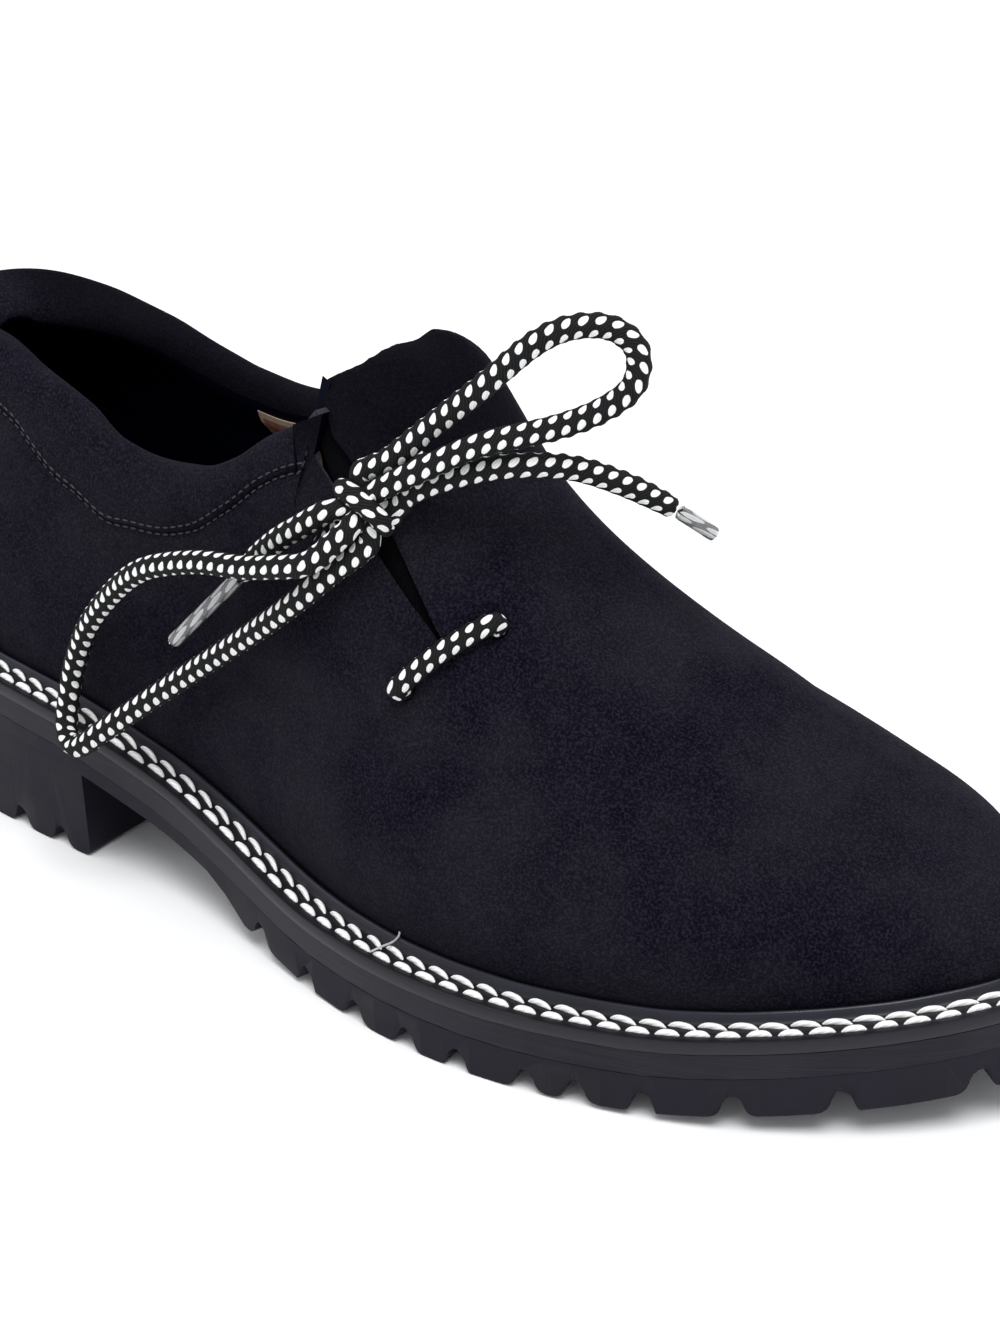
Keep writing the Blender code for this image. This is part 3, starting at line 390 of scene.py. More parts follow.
class Last:
    """Outer surface of the upper: sections across the foot, closed over the instep and heel."""

    stations = 220
    girth_steps = 160
    nose_length = 38.0
    counter_bulge = 2.0
    lean_heights = (0.383, 0.579, 0.991, 1.215)
    counter_lean = 17.0
    top_lean = 22.0

    def __init__(self) -> None:
        """Works out the sections at stations that lie close at the heel and the toe."""
        edge = sole_outline()
        self.seat = inset(edge, rim(edge[:, 0]))
        self.back = self.seat[:, 0].min()
        self.toe = self.seat[:, 0].max()
        step = np.linspace(0, 1, self.stations + 1)
        places = self.back + (self.toe - self.back) * (1 - np.cos(np.pi * step)) / 2
        self.grid = np.array([self.section(x) for x in places])

    def section(self, x: float) -> Array:
        """Points at equal steps of the girth, from the outer seat over the ridge to the inner."""
        share = x / LENGTH
        outer, inner = sides(self.seat, x)
        middle = SECTIONS.read("offset", share) * BALL_WIDTH
        middle = np.clip(middle, 0.7 * outer + 0.3 * inner, 0.3 * outer + 0.7 * inner)
        floor = float(welt_top(x))
        nose = max(0.0, (x - self.toe + self.nose_length) / self.nose_length)
        rise = SECTIONS.read("ridge", share) * BALL_WIDTH - floor
        rise *= max(0.0, 1 - nose**2.4) ** 0.45
        half = np.linspace(0, 1, 201)
        turn = np.concatenate([half**2, 2 - half[-2::-1] ** 2]) * np.pi / 2
        up = np.clip(np.sin(turn), 0, 1) ** (2 / SECTIONS.read("high", share))
        out = np.abs(np.cos(turn)) ** (2 / SECTIONS.read("wide", share))
        y = np.where(np.cos(turn) > 0, middle - (middle - outer) * out, middle + (inner - middle) * out)
        z = floor + rise * up
        bulge = SECTIONS.read("bulge", share) * min(1.0, (inner - outer) / 50)
        bulge = bulge * np.sin(np.pi * np.clip((z - floor) / 38, 0, 1))
        y = y + bulge * np.clip((y - middle) / 12, -1, 1)
        points = even_steps_in(np.stack([np.full_like(y, x), y, z], axis=1), self.girth_steps)
        leans = (0.0, -self.counter_bulge, self.counter_lean, self.top_lean)
        lean = smooth_read(self.lean_heights, leans, points[:, 2] / BACK_HEIGHT)
        points[:, 0] += lean * max(0.0, 1 - (x - self.back) / (0.294 * LENGTH)) ** 1.5
        return points

    def at(self, x: Number, girth: Number) -> Array:
        """Point of the surface at a station X and a share of the girth."""
        x, girth = np.broadcast_arrays(np.asarray(x, float), np.asarray(girth, float))
        share = np.clip(1 - 2 * (x - self.back) / (self.toe - self.back), -1, 1)
        row = np.arccos(share) / np.pi * self.stations
        column = np.clip(girth, 0, 1) * self.girth_steps
        i = np.clip(row.astype(int), 0, self.stations - 1)
        j = np.clip(column.astype(int), 0, self.girth_steps - 1)
        a, b = (row - i)[..., None], (column - j)[..., None]
        low = self.grid[i, j] * (1 - b) + self.grid[i, j + 1] * b
        high = self.grid[i + 1, j] * (1 - b) + self.grid[i + 1, j + 1] * b
        return low * (1 - a) + high * a

    def outward(self, x: Number, girth: Number) -> Array:
        """Unit normal of the surface, out of the shoe."""
        x = np.clip(np.asarray(x, float), self.back + 0.9, self.toe - 0.9)
        ahead = self.at(x + 0.8, girth) - self.at(x - 0.8, girth)
        girth = np.asarray(girth, float)
        over = self.at(x, girth + 0.008) - self.at(x, girth - 0.008)
        return unit(np.cross(ahead, over))

    def lifted(self, x: Number, girth: Number, lift: Number) -> Array:
        """A point over the surface by lift, or inside it where lift is negative."""
        return self.at(x, girth) + self.outward(x, girth) * np.reshape(lift, np.shape(lift) + (1,))

    def girth_at(self, x: float, height: float, side: Side) -> float:
        """Share of the girth where one wall reaches a height at the station X."""
        half = np.linspace(0.5, 1.0, 400) if side is Side.INNER else np.linspace(0.0, 0.5, 400)
        heights = self.at(np.full(400, x), half)[:, 2]
        if side is Side.INNER:
            half, heights = half[::-1], heights[::-1]
        return float(np.interp(height, heights, half))


def even_steps_in(points: Array, steps: int) -> Array:
    """A polyline read again at a number of equal steps."""
    length = lengths_along(points)
    even = np.linspace(0, length[-1], steps + 1)
    return np.stack([np.interp(even, length, points[:, k]) for k in range(points.shape[1])], axis=1)


def deselect() -> None:
    """Leaves nothing selected, so that an operator acts on what is added next."""
    if bpy.context.object and bpy.context.object.mode != "OBJECT":
        bpy.ops.object.mode_set(mode="OBJECT")
    bpy.ops.object.select_all(action="DESELECT")


def only(piece: Piece) -> None:
    """Selects one object and makes it the active one."""
    deselect()
    piece.select_set(True)
    bpy.context.view_layer.objects.active = piece


def linked(name: str, data: bpy.types.ID) -> Piece:
    """A new object that holds the data, linked into the scene."""
    piece = bpy.data.objects.new(name, data)
    bpy.context.scene.collection.objects.link(piece)
    return piece


def apply_modifiers(piece: Piece) -> None:
    """Applies every modifier of a piece, in order."""
    only(piece)
    for modifier in list(piece.modifiers):
        bpy.ops.object.modifier_apply(modifier=modifier.name)


def smooth(piece: Piece, degrees: float) -> None:
    """Shades a piece smooth, and keeps its edges over an angle sharp."""
    only(piece)
    bpy.ops.object.shade_smooth_by_angle(angle=math.radians(degrees))


def tidy_mesh(piece: Piece, merge: float = 0.00002, turn_out: bool = True) -> None:
    """Merges a piece's doubles, and turns its faces outwards."""
    only(piece)
    bpy.ops.object.mode_set(mode="EDIT")
    bpy.ops.mesh.select_all(action="SELECT")
    bpy.ops.mesh.remove_doubles(threshold=merge)
    if turn_out:
        bpy.ops.mesh.normals_make_consistent(inside=False)
    bpy.ops.object.mode_set(mode="OBJECT")


def grid_piece(name: str, points: Array, marks: Array | None = None) -> Piece:
    """A grid whose points are put in their places, with its seams merged.

    Args:
        name: The piece's name.
        points: Rows and columns of points in millimetres.
        marks: Two numbers for each point, kept as the piece's UV map.

    Returns:
        The piece.
    """
    rows, columns = points.shape[:2]
    deselect()
    bpy.ops.mesh.primitive_grid_add(x_subdivisions=columns - 1, y_subdivisions=rows - 1, size=2.0)
    piece = bpy.context.object
    piece.name = piece.data.name = name
    flat = np.zeros(len(piece.data.vertices) * 3, np.float32)
    piece.data.vertices.foreach_get("co", flat)
    flat = flat.reshape(-1, 3)
    i = np.rint((flat[:, 1] + 1) / 2 * (rows - 1)).astype(int)
    j = np.rint((flat[:, 0] + 1) / 2 * (columns - 1)).astype(int)
    placed = in_metres(points)[i, j].astype(np.float32)
    piece.data.vertices.foreach_set("co", placed.ravel())
    if marks is not None:
        corners = np.zeros(len(piece.data.loops), np.int32)
        piece.data.loops.foreach_get("vertex_index", corners)
        values = marks[i, j][corners].astype(np.float32)
        piece.data.uv_layers.active.data.foreach_set("uv", values.ravel())
    tidy_mesh(piece)
    return piece


def copies(name: str, pattern: Piece, places: Array, marks: bool = False) -> Piece:
    """One mesh of many copies of a small pattern, which is then removed.

    Args:
        name: The new piece's name.
        pattern: The object that is copied, with its shape in millimetres.
        places: The pattern's points for each copy, in the shoe's millimetres.
        marks: Whether the pattern's UV map is repeated on each copy.

    Returns:
        The joined piece.
    """
    count, size = places.shape[:2]
    faces = [list(face.vertices) for face in pattern.data.polygons]
    joined = [[corner + k * size for corner in face] for k in range(count) for face in faces]
    mesh = bpy.data.meshes.new(name)
    mesh.from_pydata(in_metres(places.reshape(-1, 3)).tolist(), [], joined)
    if marks:
        values = np.zeros(len(pattern.data.loops) * 2, np.float32)
        pattern.data.uv_layers.active.data.foreach_get("uv", values)
        mesh.uv_layers.new(name="UVMap").data.foreach_set("uv", np.tile(values, count))
    bpy.data.objects.remove(pattern, do_unlink=True)
    return linked(name, mesh)


def frames_along(path: Array, first_up: Sequence[float]) -> tuple[Array, Array]:
    """Two directions across a path at each point, carried along it without twist.

    Args:
        path: The points of the path.
        first_up: Roughly where the second direction points at the start.

    Returns:
        The side and up directions.
    """
    ahead = unit(np.gradient(path, axis=0))
    ups = np.zeros_like(path)
    up = np.array(first_up, float)
    for i, direction in enumerate(ahead):
        up = up - direction * (up @ direction)
        up /= np.linalg.norm(up)
        ups[i] = up
    return np.cross(ahead, ups), ups


def tube(
    name: str,
    path: Array,
    radius: Callable[[Array, Array], Array],
    around: int,
    first_up: Sequence[float] = (0.0, 0.0, 1.0),
    flat: float = 1.0,
    round_ends: float = 0.0,
) -> Piece:
    """A tube along a path, closed at its ends, with the length along and the turn round as its UV map.

    Args:
        name: The piece's name.
        path: The points of its centre line, in millimetres.
        radius: The radius for lengths along and shares of the turn.
        around: How many points lie round it.
        first_up: Roughly where its up direction points at the start.
        flat: Its thickness as a share of its width.
        round_ends: The length over which each end draws in to a point.

    Returns:
        The piece.
    """
    side, up = frames_along(path, first_up)
    length = lengths_along(path)
    turn = np.linspace(0, 1, around + 1)
    along, share = np.meshgrid(length, turn, indexing="ij")
    size = radius(along, share)
    if round_ends > 0:
        near = np.minimum(along, length[-1] - along)
        size = size * np.sqrt(np.clip(1 - (1 - np.clip(near / round_ends, 0, 1)) ** 2, 0, 1))
    else:
        size[0], size[-1] = 0.0, 0.0
    angle = 2 * np.pi * share
    across = (size * np.cos(angle))[..., None] * side[:, None]
    over = (size * flat * np.sin(angle))[..., None] * up[:, None]
    marks = np.stack([along, share], axis=-1)
    return grid_piece(name, path[:, None] + across + over, marks)


def even_radius(radius: float) -> Callable[[Array, Array], Array]:
    """The same radius all along a tube."""
    return lambda along, share: np.full(along.shape, radius)


class Nodes:
    """A node tree, with short ways to add the nodes that the finishes need."""

    def __init__(self, tree: bpy.types.NodeTree) -> None:
        """Works on one tree."""
        self.tree = tree

    def add(self, kind: str, options: dict | None = None, **inputs: object) -> bpy.types.Node:
        """Adds a node, sets its options, and sets or links its inputs by name."""
        node = self.tree.nodes.new(kind)
        for key, value in (options or {}).items():
            setattr(node, key, value)
        for key, value in inputs.items():
            self.feed(node.inputs[key.replace("_", " ")], value)
        return node

    def feed(self, socket: Socket, value: object) -> None:
        """Links a socket from another, or sets its value."""
        if isinstance(value, Socket):
            self.tree.links.new(value, socket)
        else:
            socket.default_value = value

    def maths(self, operation: str, *values: object) -> Socket:
        """The result of one step of arithmetic."""
        node = self.add("ShaderNodeMath", {"operation": operation})
        for socket, value in zip(node.inputs, values):
            self.feed(socket, value)
        return node.outputs[0]

    def plus(self, first: object, second: object) -> Socket:
        """Two values added."""
        return self.maths("ADD", first, second)

    def minus(self, first: object, second: object) -> Socket:
        """The second value taken from the first."""
        return self.maths("SUBTRACT", first, second)

    def times(self, first: object, second: object) -> Socket:
        """Two values multiplied."""
        return self.maths("MULTIPLY", first, second)

    def marks(self) -> tuple[Socket, Socket]:
        """The two numbers of a piece's UV map."""
        parts = self.add("ShaderNodeSeparateXYZ", Vector=self.add("ShaderNodeUVMap").outputs[0])
        return parts.outputs[0], parts.outputs[1]

    def span(
        self, value: object, low: object, high: object, to_low: float = 0.0, to_high: float = 1.0
    ) -> Socket:
        """A value carried smoothly from one range to another."""
        node = self.add("ShaderNodeMapRange", {"interpolation_type": "SMOOTHSTEP"})
        ranges = {"Value": value, "From Min": low, "From Max": high, "To Min": to_low, "To Max": to_high}
        for name, number in ranges.items():
            self.feed(node.inputs[name], number)
        return node.outputs["Result"]

    def mix(self, share: object, low: object, high: object) -> Socket:
        """A colour between two others."""
        node = self.add("ShaderNodeMix", {"data_type": "RGBA"})
        self.feed(node.inputs["Factor"], share)
        self.feed(node.inputs[6], colour(low))
        self.feed(node.inputs[7], colour(high))
        return node.outputs[2]

    def noise(self, place: object, scale: object, detail: float = 2.0, rough: float = 0.5) -> Socket:
        """Soft noise at a scale."""
        node = self.add("ShaderNodeTexNoise", Vector=place, Scale=scale, Detail=detail, Roughness=rough)
        return node.outputs[0]

    def stretched(self, place: object, scale: Sequence[float]) -> Socket:
        """Coordinates stretched by a scale along each axis."""
        return self.add("ShaderNodeMapping", Vector=place, Scale=tuple(scale)).outputs[0]

    def bump(self, height: object, strength: float, depth: float, under: object = None) -> Socket:
        """A normal from a height, with its depth in metres."""
        node = self.add("ShaderNodeBump", Height=height, Strength=strength, Distance=depth)
        if under is not None:
            self.feed(node.inputs["Normal"], under)
        return node.outputs[0]


def colour(value: object) -> object:
    """A colour with its alpha, or a socket as it is."""
    return value if isinstance(value, Socket) else (*value, 1.0)


def shader_group(
    name: str, inputs: dict[str, float], outputs: Sequence[str]
) -> tuple[Nodes, bpy.types.Node, bpy.types.Node]:
    """An empty node group with named numbers going in and out.

    Args:
        name: The group's name.
        inputs: Its inputs and their values.
        outputs: Its outputs.

    Returns:
        The group's nodes, its input node and its output node.
    """
    tree = bpy.data.node_groups.new(name, "ShaderNodeTree")
    for key, value in inputs.items():
        tree.interface.new_socket(key, in_out="INPUT", socket_type="NodeSocketFloat").default_value = value
    for key in outputs:
        tree.interface.new_socket(key, in_out="OUTPUT", socket_type="NodeSocketFloat")
    nodes = Nodes(tree)
    return nodes, nodes.add("NodeGroupInput"), nodes.add("NodeGroupOutput")


def grain_group() -> bpy.types.NodeTree:
    """Fine grain: a height, and a mask of its tips."""
    nodes, start, end = shader_group("fine_grain", {"Scale": 900.0, "Softness": 0.5}, ("Height", "Tips"))
    place = nodes.add("ShaderNodeTexCoord").outputs["Object"]
    coarse = nodes.noise(place, start.outputs["Scale"], 3.0, 0.6)
    fine = nodes.noise(place, nodes.times(start.outputs["Scale"], 2.7), 2.0, 0.6)
    mixed = nodes.plus(nodes.times(coarse, start.outputs["Softness"]), nodes.times(fine, 0.5))
    nodes.feed(end.inputs["Height"], mixed)
    nodes.feed(end.inputs["Tips"], nodes.span(fine, 0.40, 0.70))
    return nodes.tree


def clouds_group() -> bpy.types.NodeTree:
    """Large soft patches from 0 to 1."""
    nodes, start, end = shader_group("soft_clouds", {"Scale": 30.0, "Edge": 0.12}, ("Patch",))
    place = nodes.add("ShaderNodeTexCoord").outputs["Object"]
    cloud = nodes.noise(place, start.outputs["Scale"], 3.0, 0.55)
    low = nodes.minus(0.5, start.outputs["Edge"])
    high = nodes.plus(0.5, start.outputs["Edge"])
    nodes.feed(end.inputs["Patch"], nodes.span(cloud, low, high))
    return nodes.tree


class Finish:
    """A material with its own name, and the effects that materials share."""

    groups: dict[str, bpy.types.NodeTree] = {}

    def __init__(self, name: str, rough: float, specular: float = 0.5, coat: float = 0.0) -> None:
        """Starts a material with an even roughness, gloss and coat."""
        self.material = bpy.data.materials.new(name)
        self.material.use_nodes = True
        self.nodes = Nodes(self.material.node_tree)
        self.shader = self.material.node_tree.nodes["Principled BSDF"]
        self.place = self.nodes.add("ShaderNodeTexCoord").outputs["Object"]
        self.put("Roughness", rough)
        self.put("Specular IOR Level", specular)
        self.put("Coat Weight", coat)

    def put(self, name: str, value: object) -> None:
        """Sets or links one of the shader's sockets."""
        self.nodes.feed(self.shader.inputs[name], colour(value) if isinstance(value, tuple) else value)

    def shared(self, name: str, **values: float) -> bpy.types.Node:
        """Places one of the shared effects with its own values."""
        makers = {"grain": grain_group, "clouds": clouds_group}
        if name not in self.groups:
            self.groups[name] = makers[name]()
        node = self.nodes.add("ShaderNodeGroup", {"node_tree": self.groups[name]})
        for key, value in values.items():
            node.inputs[key].default_value = value
        return node


@dataclass(frozen=True)
class Suede:
    """Napped leather: dark patches brushed two ways, with a fine pile, and painted shade that makes it darker
    past a place on one axis.
    """

    name: str
    dark: Triple = (0.0014, 0.0010, 0.0048)
    brushed: Triple = (0.0068, 0.0059, 0.0094)
    tips: Triple = (0.029, 0.0265, 0.039)
    pile: float = 0.6
    sheen: float = 0.02
    # Axis and range in metres past which painted shade darkens the suede
    deep: tuple[str, float, float] = ("Z", 0.098, 0.114)

    def material(self) -> Material:
        """Builds the material."""
        finish = Finish(self.name, 0.92, specular=0.05)
        nodes = finish.nodes
        axis, low, high = self.deep
        grain = finish.shared("grain", Scale=720.0, Softness=0.6)
        patch = finish.shared("clouds", Scale=34.0, Edge=0.16).outputs["Patch"]
        small = finish.shared("clouds", Scale=150.0, Edge=0.2).outputs["Patch"]
        shade = nodes.mix(patch, self.dark, self.brushed)
        shade = nodes.mix(nodes.times(small, 0.08), shade, self.tips)
        shade = nodes.mix(nodes.times(grain.outputs["Tips"], 0.42), shade, self.tips)
        # Painted shade: past the range on the chosen axis the colour darkens towards near black
        place = nodes.add("ShaderNodeSeparateXYZ", Vector=finish.place).outputs[axis]
        deep = nodes.times(nodes.span(place, low, high), 0.72)
        finish.put("Base Color", nodes.mix(deep, shade, (0.0010, 0.0008, 0.0020)))
        finish.put("Sheen Weight", self.sheen)
        finish.put("Sheen Roughness", 0.45)
        finish.put("Sheen Tint", (0.55, 0.55, 0.75))
        broad = nodes.bump(small, 0.35, 0.0004)
        finish.put("Normal", nodes.bump(grain.outputs["Height"], self.pile, 0.0005, broad))
        return finish.material


@dataclass(frozen=True)
class CutEdge:
    """The raw edge of the leather, a little paler and fibrous."""

    name: str
    shade: Triple = (0.018, 0.016, 0.021)

    def material(self) -> Material:
        """Builds the material."""
        finish = Finish(self.name, 0.9, specular=0.1)
        grain = finish.shared("grain", Scale=1300.0, Softness=0.5)
        finish.put("Base Color", finish.nodes.mix(grain.outputs["Tips"], self.shade, (0.075, 0.07, 0.082)))
        finish.put("Normal", finish.nodes.bump(grain.outputs["Height"], 0.6, 0.0003))
        return finish.material


@dataclass(frozen=True)
class Lining:
    """Smooth dark lining leather with a fine pore."""

    name: str
    shade: Triple = (0.0005, 0.0013, 0.0064)

    def material(self) -> Material:
        """Builds the material."""
        finish = Finish(self.name, 0.62, specular=0.06)
        grain = finish.shared("grain", Scale=700.0, Softness=0.7)
        patch = finish.shared("clouds", Scale=40.0, Edge=0.25).outputs["Patch"]
        finish.put("Base Color", finish.nodes.mix(patch, self.shade, (0.0010, 0.0018, 0.0070)))
        finish.put("Normal", finish.nodes.bump(grain.outputs["Height"], 0.35, 0.0003))
        return finish.material


@dataclass(frozen=True)
class Rubber:
    """Moulded rubber with a dull bloom, a little paler where it is rubbed."""

    name: str
    shade: Triple = (0.0040, 0.0032, 0.0085)
    bloom: Triple = (0.0110, 0.0095, 0.0175)
    rough: float = 0.58

    def material(self) -> Material:
        """Builds the material."""
        finish = Finish(self.name, self.rough, specular=0.18)
        nodes = finish.nodes
        grain = finish.shared("grain", Scale=1100.0, Softness=0.6)
        patch = finish.shared("clouds", Scale=55.0, Edge=0.22).outputs["Patch"]
        finish.put("Base Color", nodes.mix(patch, self.shade, self.bloom))
        finish.put("Roughness", nodes.span(patch, 0.0, 1.0, self.rough - 0.06, self.rough + 0.12))
        finish.put("Normal", nodes.bump(grain.outputs["Height"], 0.3, 0.0002))
        return finish.material


@dataclass(frozen=True)
class SandedEdge:
    """The trimmed edge of the midsole: fine lines that run along the sole."""

    name: str
    shade: Triple = (0.0045, 0.0038, 0.0090)
    line: Triple = (0.0115, 0.0100, 0.0170)

    def material(self) -> Material:
        """Builds the material."""
        finish = Finish(self.name, 0.5, specular=0.2)
        nodes = finish.nodes
        lines = nodes.noise(nodes.stretched(finish.place, (25.0, 25.0, 2600.0)), 1.0, 3.0, 0.65)
        patch = finish.shared("clouds", Scale=45.0, Edge=0.2).outputs["Patch"]
        shade = nodes.mix(nodes.span(lines, 0.42, 0.66), self.shade, self.line)
        finish.put("Base Color", nodes.mix(nodes.times(patch, 0.4), shade, (0.020, 0.018, 0.027)))
        finish.put("Normal", nodes.bump(lines, 0.35, 0.0002))
        return finish.material


@dataclass(frozen=True)
class WaxedWelt:
    """Waxed black welt leather, polished glossier on its ridge, which also carries a painted highlight."""

    name: str
    shade: Triple = (0.0050, 0.0045, 0.0075)
    # Colour of the painted highlight on the rand's ridge
    painted_ridge_highlight: Triple = (0.016, 0.016, 0.026)
    side: Triple = (0.009, 0.008, 0.014)

    def material(self) -> Material:
        """Builds the material."""
        finish = Finish(self.name, 0.45, specular=0.3, coat=0.06)
        nodes = finish.nodes
        grain = finish.shared("grain", Scale=800.0, Softness=0.6)
        patch = finish.shared("clouds", Scale=120.0, Edge=0.25).outputs["Patch"]
        _, inward = nodes.marks()
        # Painted highlight: the rand's ridge is lighter and bluish, and also glossier
        crest = nodes.times(nodes.span(inward, 0.66, 0.76), nodes.span(inward, 0.92, 0.84))
        crest = nodes.times(crest, nodes.span(patch, 0.0, 1.0, 0.6, 1.0))
        top = nodes.mix(patch, self.shade, (0.009, 0.008, 0.012))
        side = nodes.mix(nodes.span(inward, 0.03, 0.0), top, self.side)
        finish.put("Base Color", nodes.mix(crest, side, self.painted_ridge_highlight))
        finish.put("Roughness", nodes.span(crest, 0.0, 1.0, 0.48, 0.30))
        finish.put("Coat Roughness", 0.3)
        finish.put("Normal", nodes.bump(grain.outputs["Height"], 0.25, 0.0002))
        return finish.material


@dataclass(frozen=True)
class Thread:
    """Twisted thread, with its plies as slanting ridges and painted shade in the grooves between them."""

    name: str
    shade: Triple
    # Colour of the painted shade in the grooves between the plies
    painted_groove_shade: Triple
    plies: float = 5.0
    relief: float = 0.6

    def material(self) -> Material:
        """Builds the material."""
        finish = Finish(self.name, 0.7, specular=0.2)
        nodes = finish.nodes
        slant = nodes.plus(*nodes.marks())
        ridge = nodes.maths("SINE", nodes.times(slant, self.plies * 2 * math.pi))
        fuzz = nodes.noise(finish.place, 2500.0, 2.0)
        # Painted shade: the colour darkens from the ply ridges into the grooves
        deep = nodes.span(nodes.plus(ridge, fuzz), -0.6, 0.6)
        finish.put("Base Color", nodes.mix(deep, self.painted_groove_shade, self.shade))
        finish.put("Normal", nodes.bump(nodes.plus(ridge, fuzz), self.relief, 0.00025))
        return finish.material


@dataclass(frozen=True)
class DottedBraid:
    """Round braided lace: staggered white ovals on a black braid, from the length and turn in its UV map."""

    name: str
    pitch: float = 3.05
    rows: int = 5
    shift: float = 0.6
    girth: float = 15.1
    dot_length: float = 2.3
    dot_width: float = 1.45
    slant: float = 47.0
    white: Triple = (0.92, 0.92, 0.91)
    black: Triple = (0.004, 0.004, 0.0045)

    def material(self) -> Material:
        """Builds the material."""
        finish = Finish(self.name, 0.75, specular=0.15)
        nodes = finish.nodes
        length, turned = nodes.marks()
        ring = nodes.times(turned, float(self.rows))
        row = nodes.maths("FLOOR", ring)
        turn, lean = math.cos(math.radians(self.slant)), math.sin(math.radians(self.slant))
        step = nodes.plus(nodes.maths("DIVIDE", length, self.pitch), nodes.times(row, self.shift))
        over = nodes.times(nodes.minus(nodes.maths("FRACT", ring), 0.5), self.girth / self.rows)
        along = nodes.times(nodes.minus(nodes.maths("FRACT", step), 0.5), self.pitch)
        long = nodes.plus(nodes.times(along, turn), nodes.times(over, lean))
        wide = nodes.minus(nodes.times(over, turn), nodes.times(along, lean))
        wobble = nodes.times(nodes.minus(nodes.noise(finish.place, 900.0), 0.5), 0.7)
        far = []
        for reach, half in ((long, self.dot_length / 2), (wide, self.dot_width / 2)):
            far.append(nodes.maths("POWER", nodes.maths("ABSOLUTE", nodes.maths("DIVIDE", reach, half)), 2.0))
        dot = nodes.span(nodes.plus(nodes.plus(*far), wobble), 1.12, 0.86)
        # Painted shade and sheen: each braid strand is lighter on its crest and darker between strands, on
        # the black braid and on the white dots
        strands = nodes.maths("SINE", nodes.times(wide, 2 * math.pi / 0.55))
        threads = nodes.span(strands, -0.5, 0.9)
        dark = nodes.mix(threads, self.black, (0.012, 0.012, 0.0135))
        light = nodes.mix(threads, (0.80, 0.80, 0.79), self.white)
        finish.put("Base Color", nodes.mix(dot, dark, light))
        height = nodes.plus(dot, nodes.times(strands, 0.12))
        finish.put("Normal", nodes.bump(height, 0.55, 0.0003))
        return finish.material


@dataclass(frozen=True)
class ClearPlastic:
    """Clear film shrunk over the lace's end."""

    name: str

    def material(self) -> Material:
        """Builds the material."""
        finish = Finish(self.name, 0.12)
        finish.put("Base Color", (0.92, 0.93, 0.95))
        finish.put("Transmission Weight", 0.85)
        finish.put("IOR", 1.42)
        ripples = finish.nodes.noise(finish.place, 700.0, 2.0)
        finish.put("Normal", finish.nodes.bump(ripples, 0.25, 0.0002))
        return finish.material


@dataclass(frozen=True)
class LabelLeather:
    """Salmon leather with a cream border, from the label's UV map."""

    name: str
    field_shade: Triple = (0.42, 0.155, 0.105)
    border: Triple = (0.50, 0.36, 0.27)

    def material(self) -> Material:
        """Builds the material."""
        finish = Finish(self.name, 0.6)
        nodes = finish.nodes
        edges = []
        for mark, reach in zip(nodes.marks(), (0.40, 0.36)):
            middle = nodes.maths("ABSOLUTE", nodes.minus(mark, 0.5))
            edges.append(nodes.span(middle, reach, reach + 0.03))
        edge = nodes.maths("MAXIMUM", *edges)
        grain = finish.shared("grain", Scale=900.0, Softness=0.6)
        patch = finish.shared("clouds", Scale=400.0, Edge=0.2).outputs["Patch"]
        plain = nodes.mix(nodes.times(patch, 0.5), self.field_shade, (0.24, 0.085, 0.06))
        finish.put("Base Color", nodes.mix(edge, plain, self.border))
        finish.put("Normal", nodes.bump(nodes.plus(grain.outputs["Height"], edge), 0.4, 0.0003))
        return finish.material


def dress(piece: Piece, *materials: Material) -> None:
    """Gives a piece its materials in place of those it has."""
    piece.data.materials.clear()
    for material in materials:
        piece.data.materials.append(material)


def settle(piece: Piece, slot: Slot, *nodes: str) -> Piece:
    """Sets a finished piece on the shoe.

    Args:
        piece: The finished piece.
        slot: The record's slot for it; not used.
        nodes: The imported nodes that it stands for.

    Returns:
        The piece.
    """
    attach(piece, BODY)
    if nodes:
        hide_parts(*nodes)
    log.info("%s: %d faces", piece.name, len(piece.data.polygons))
    return piece


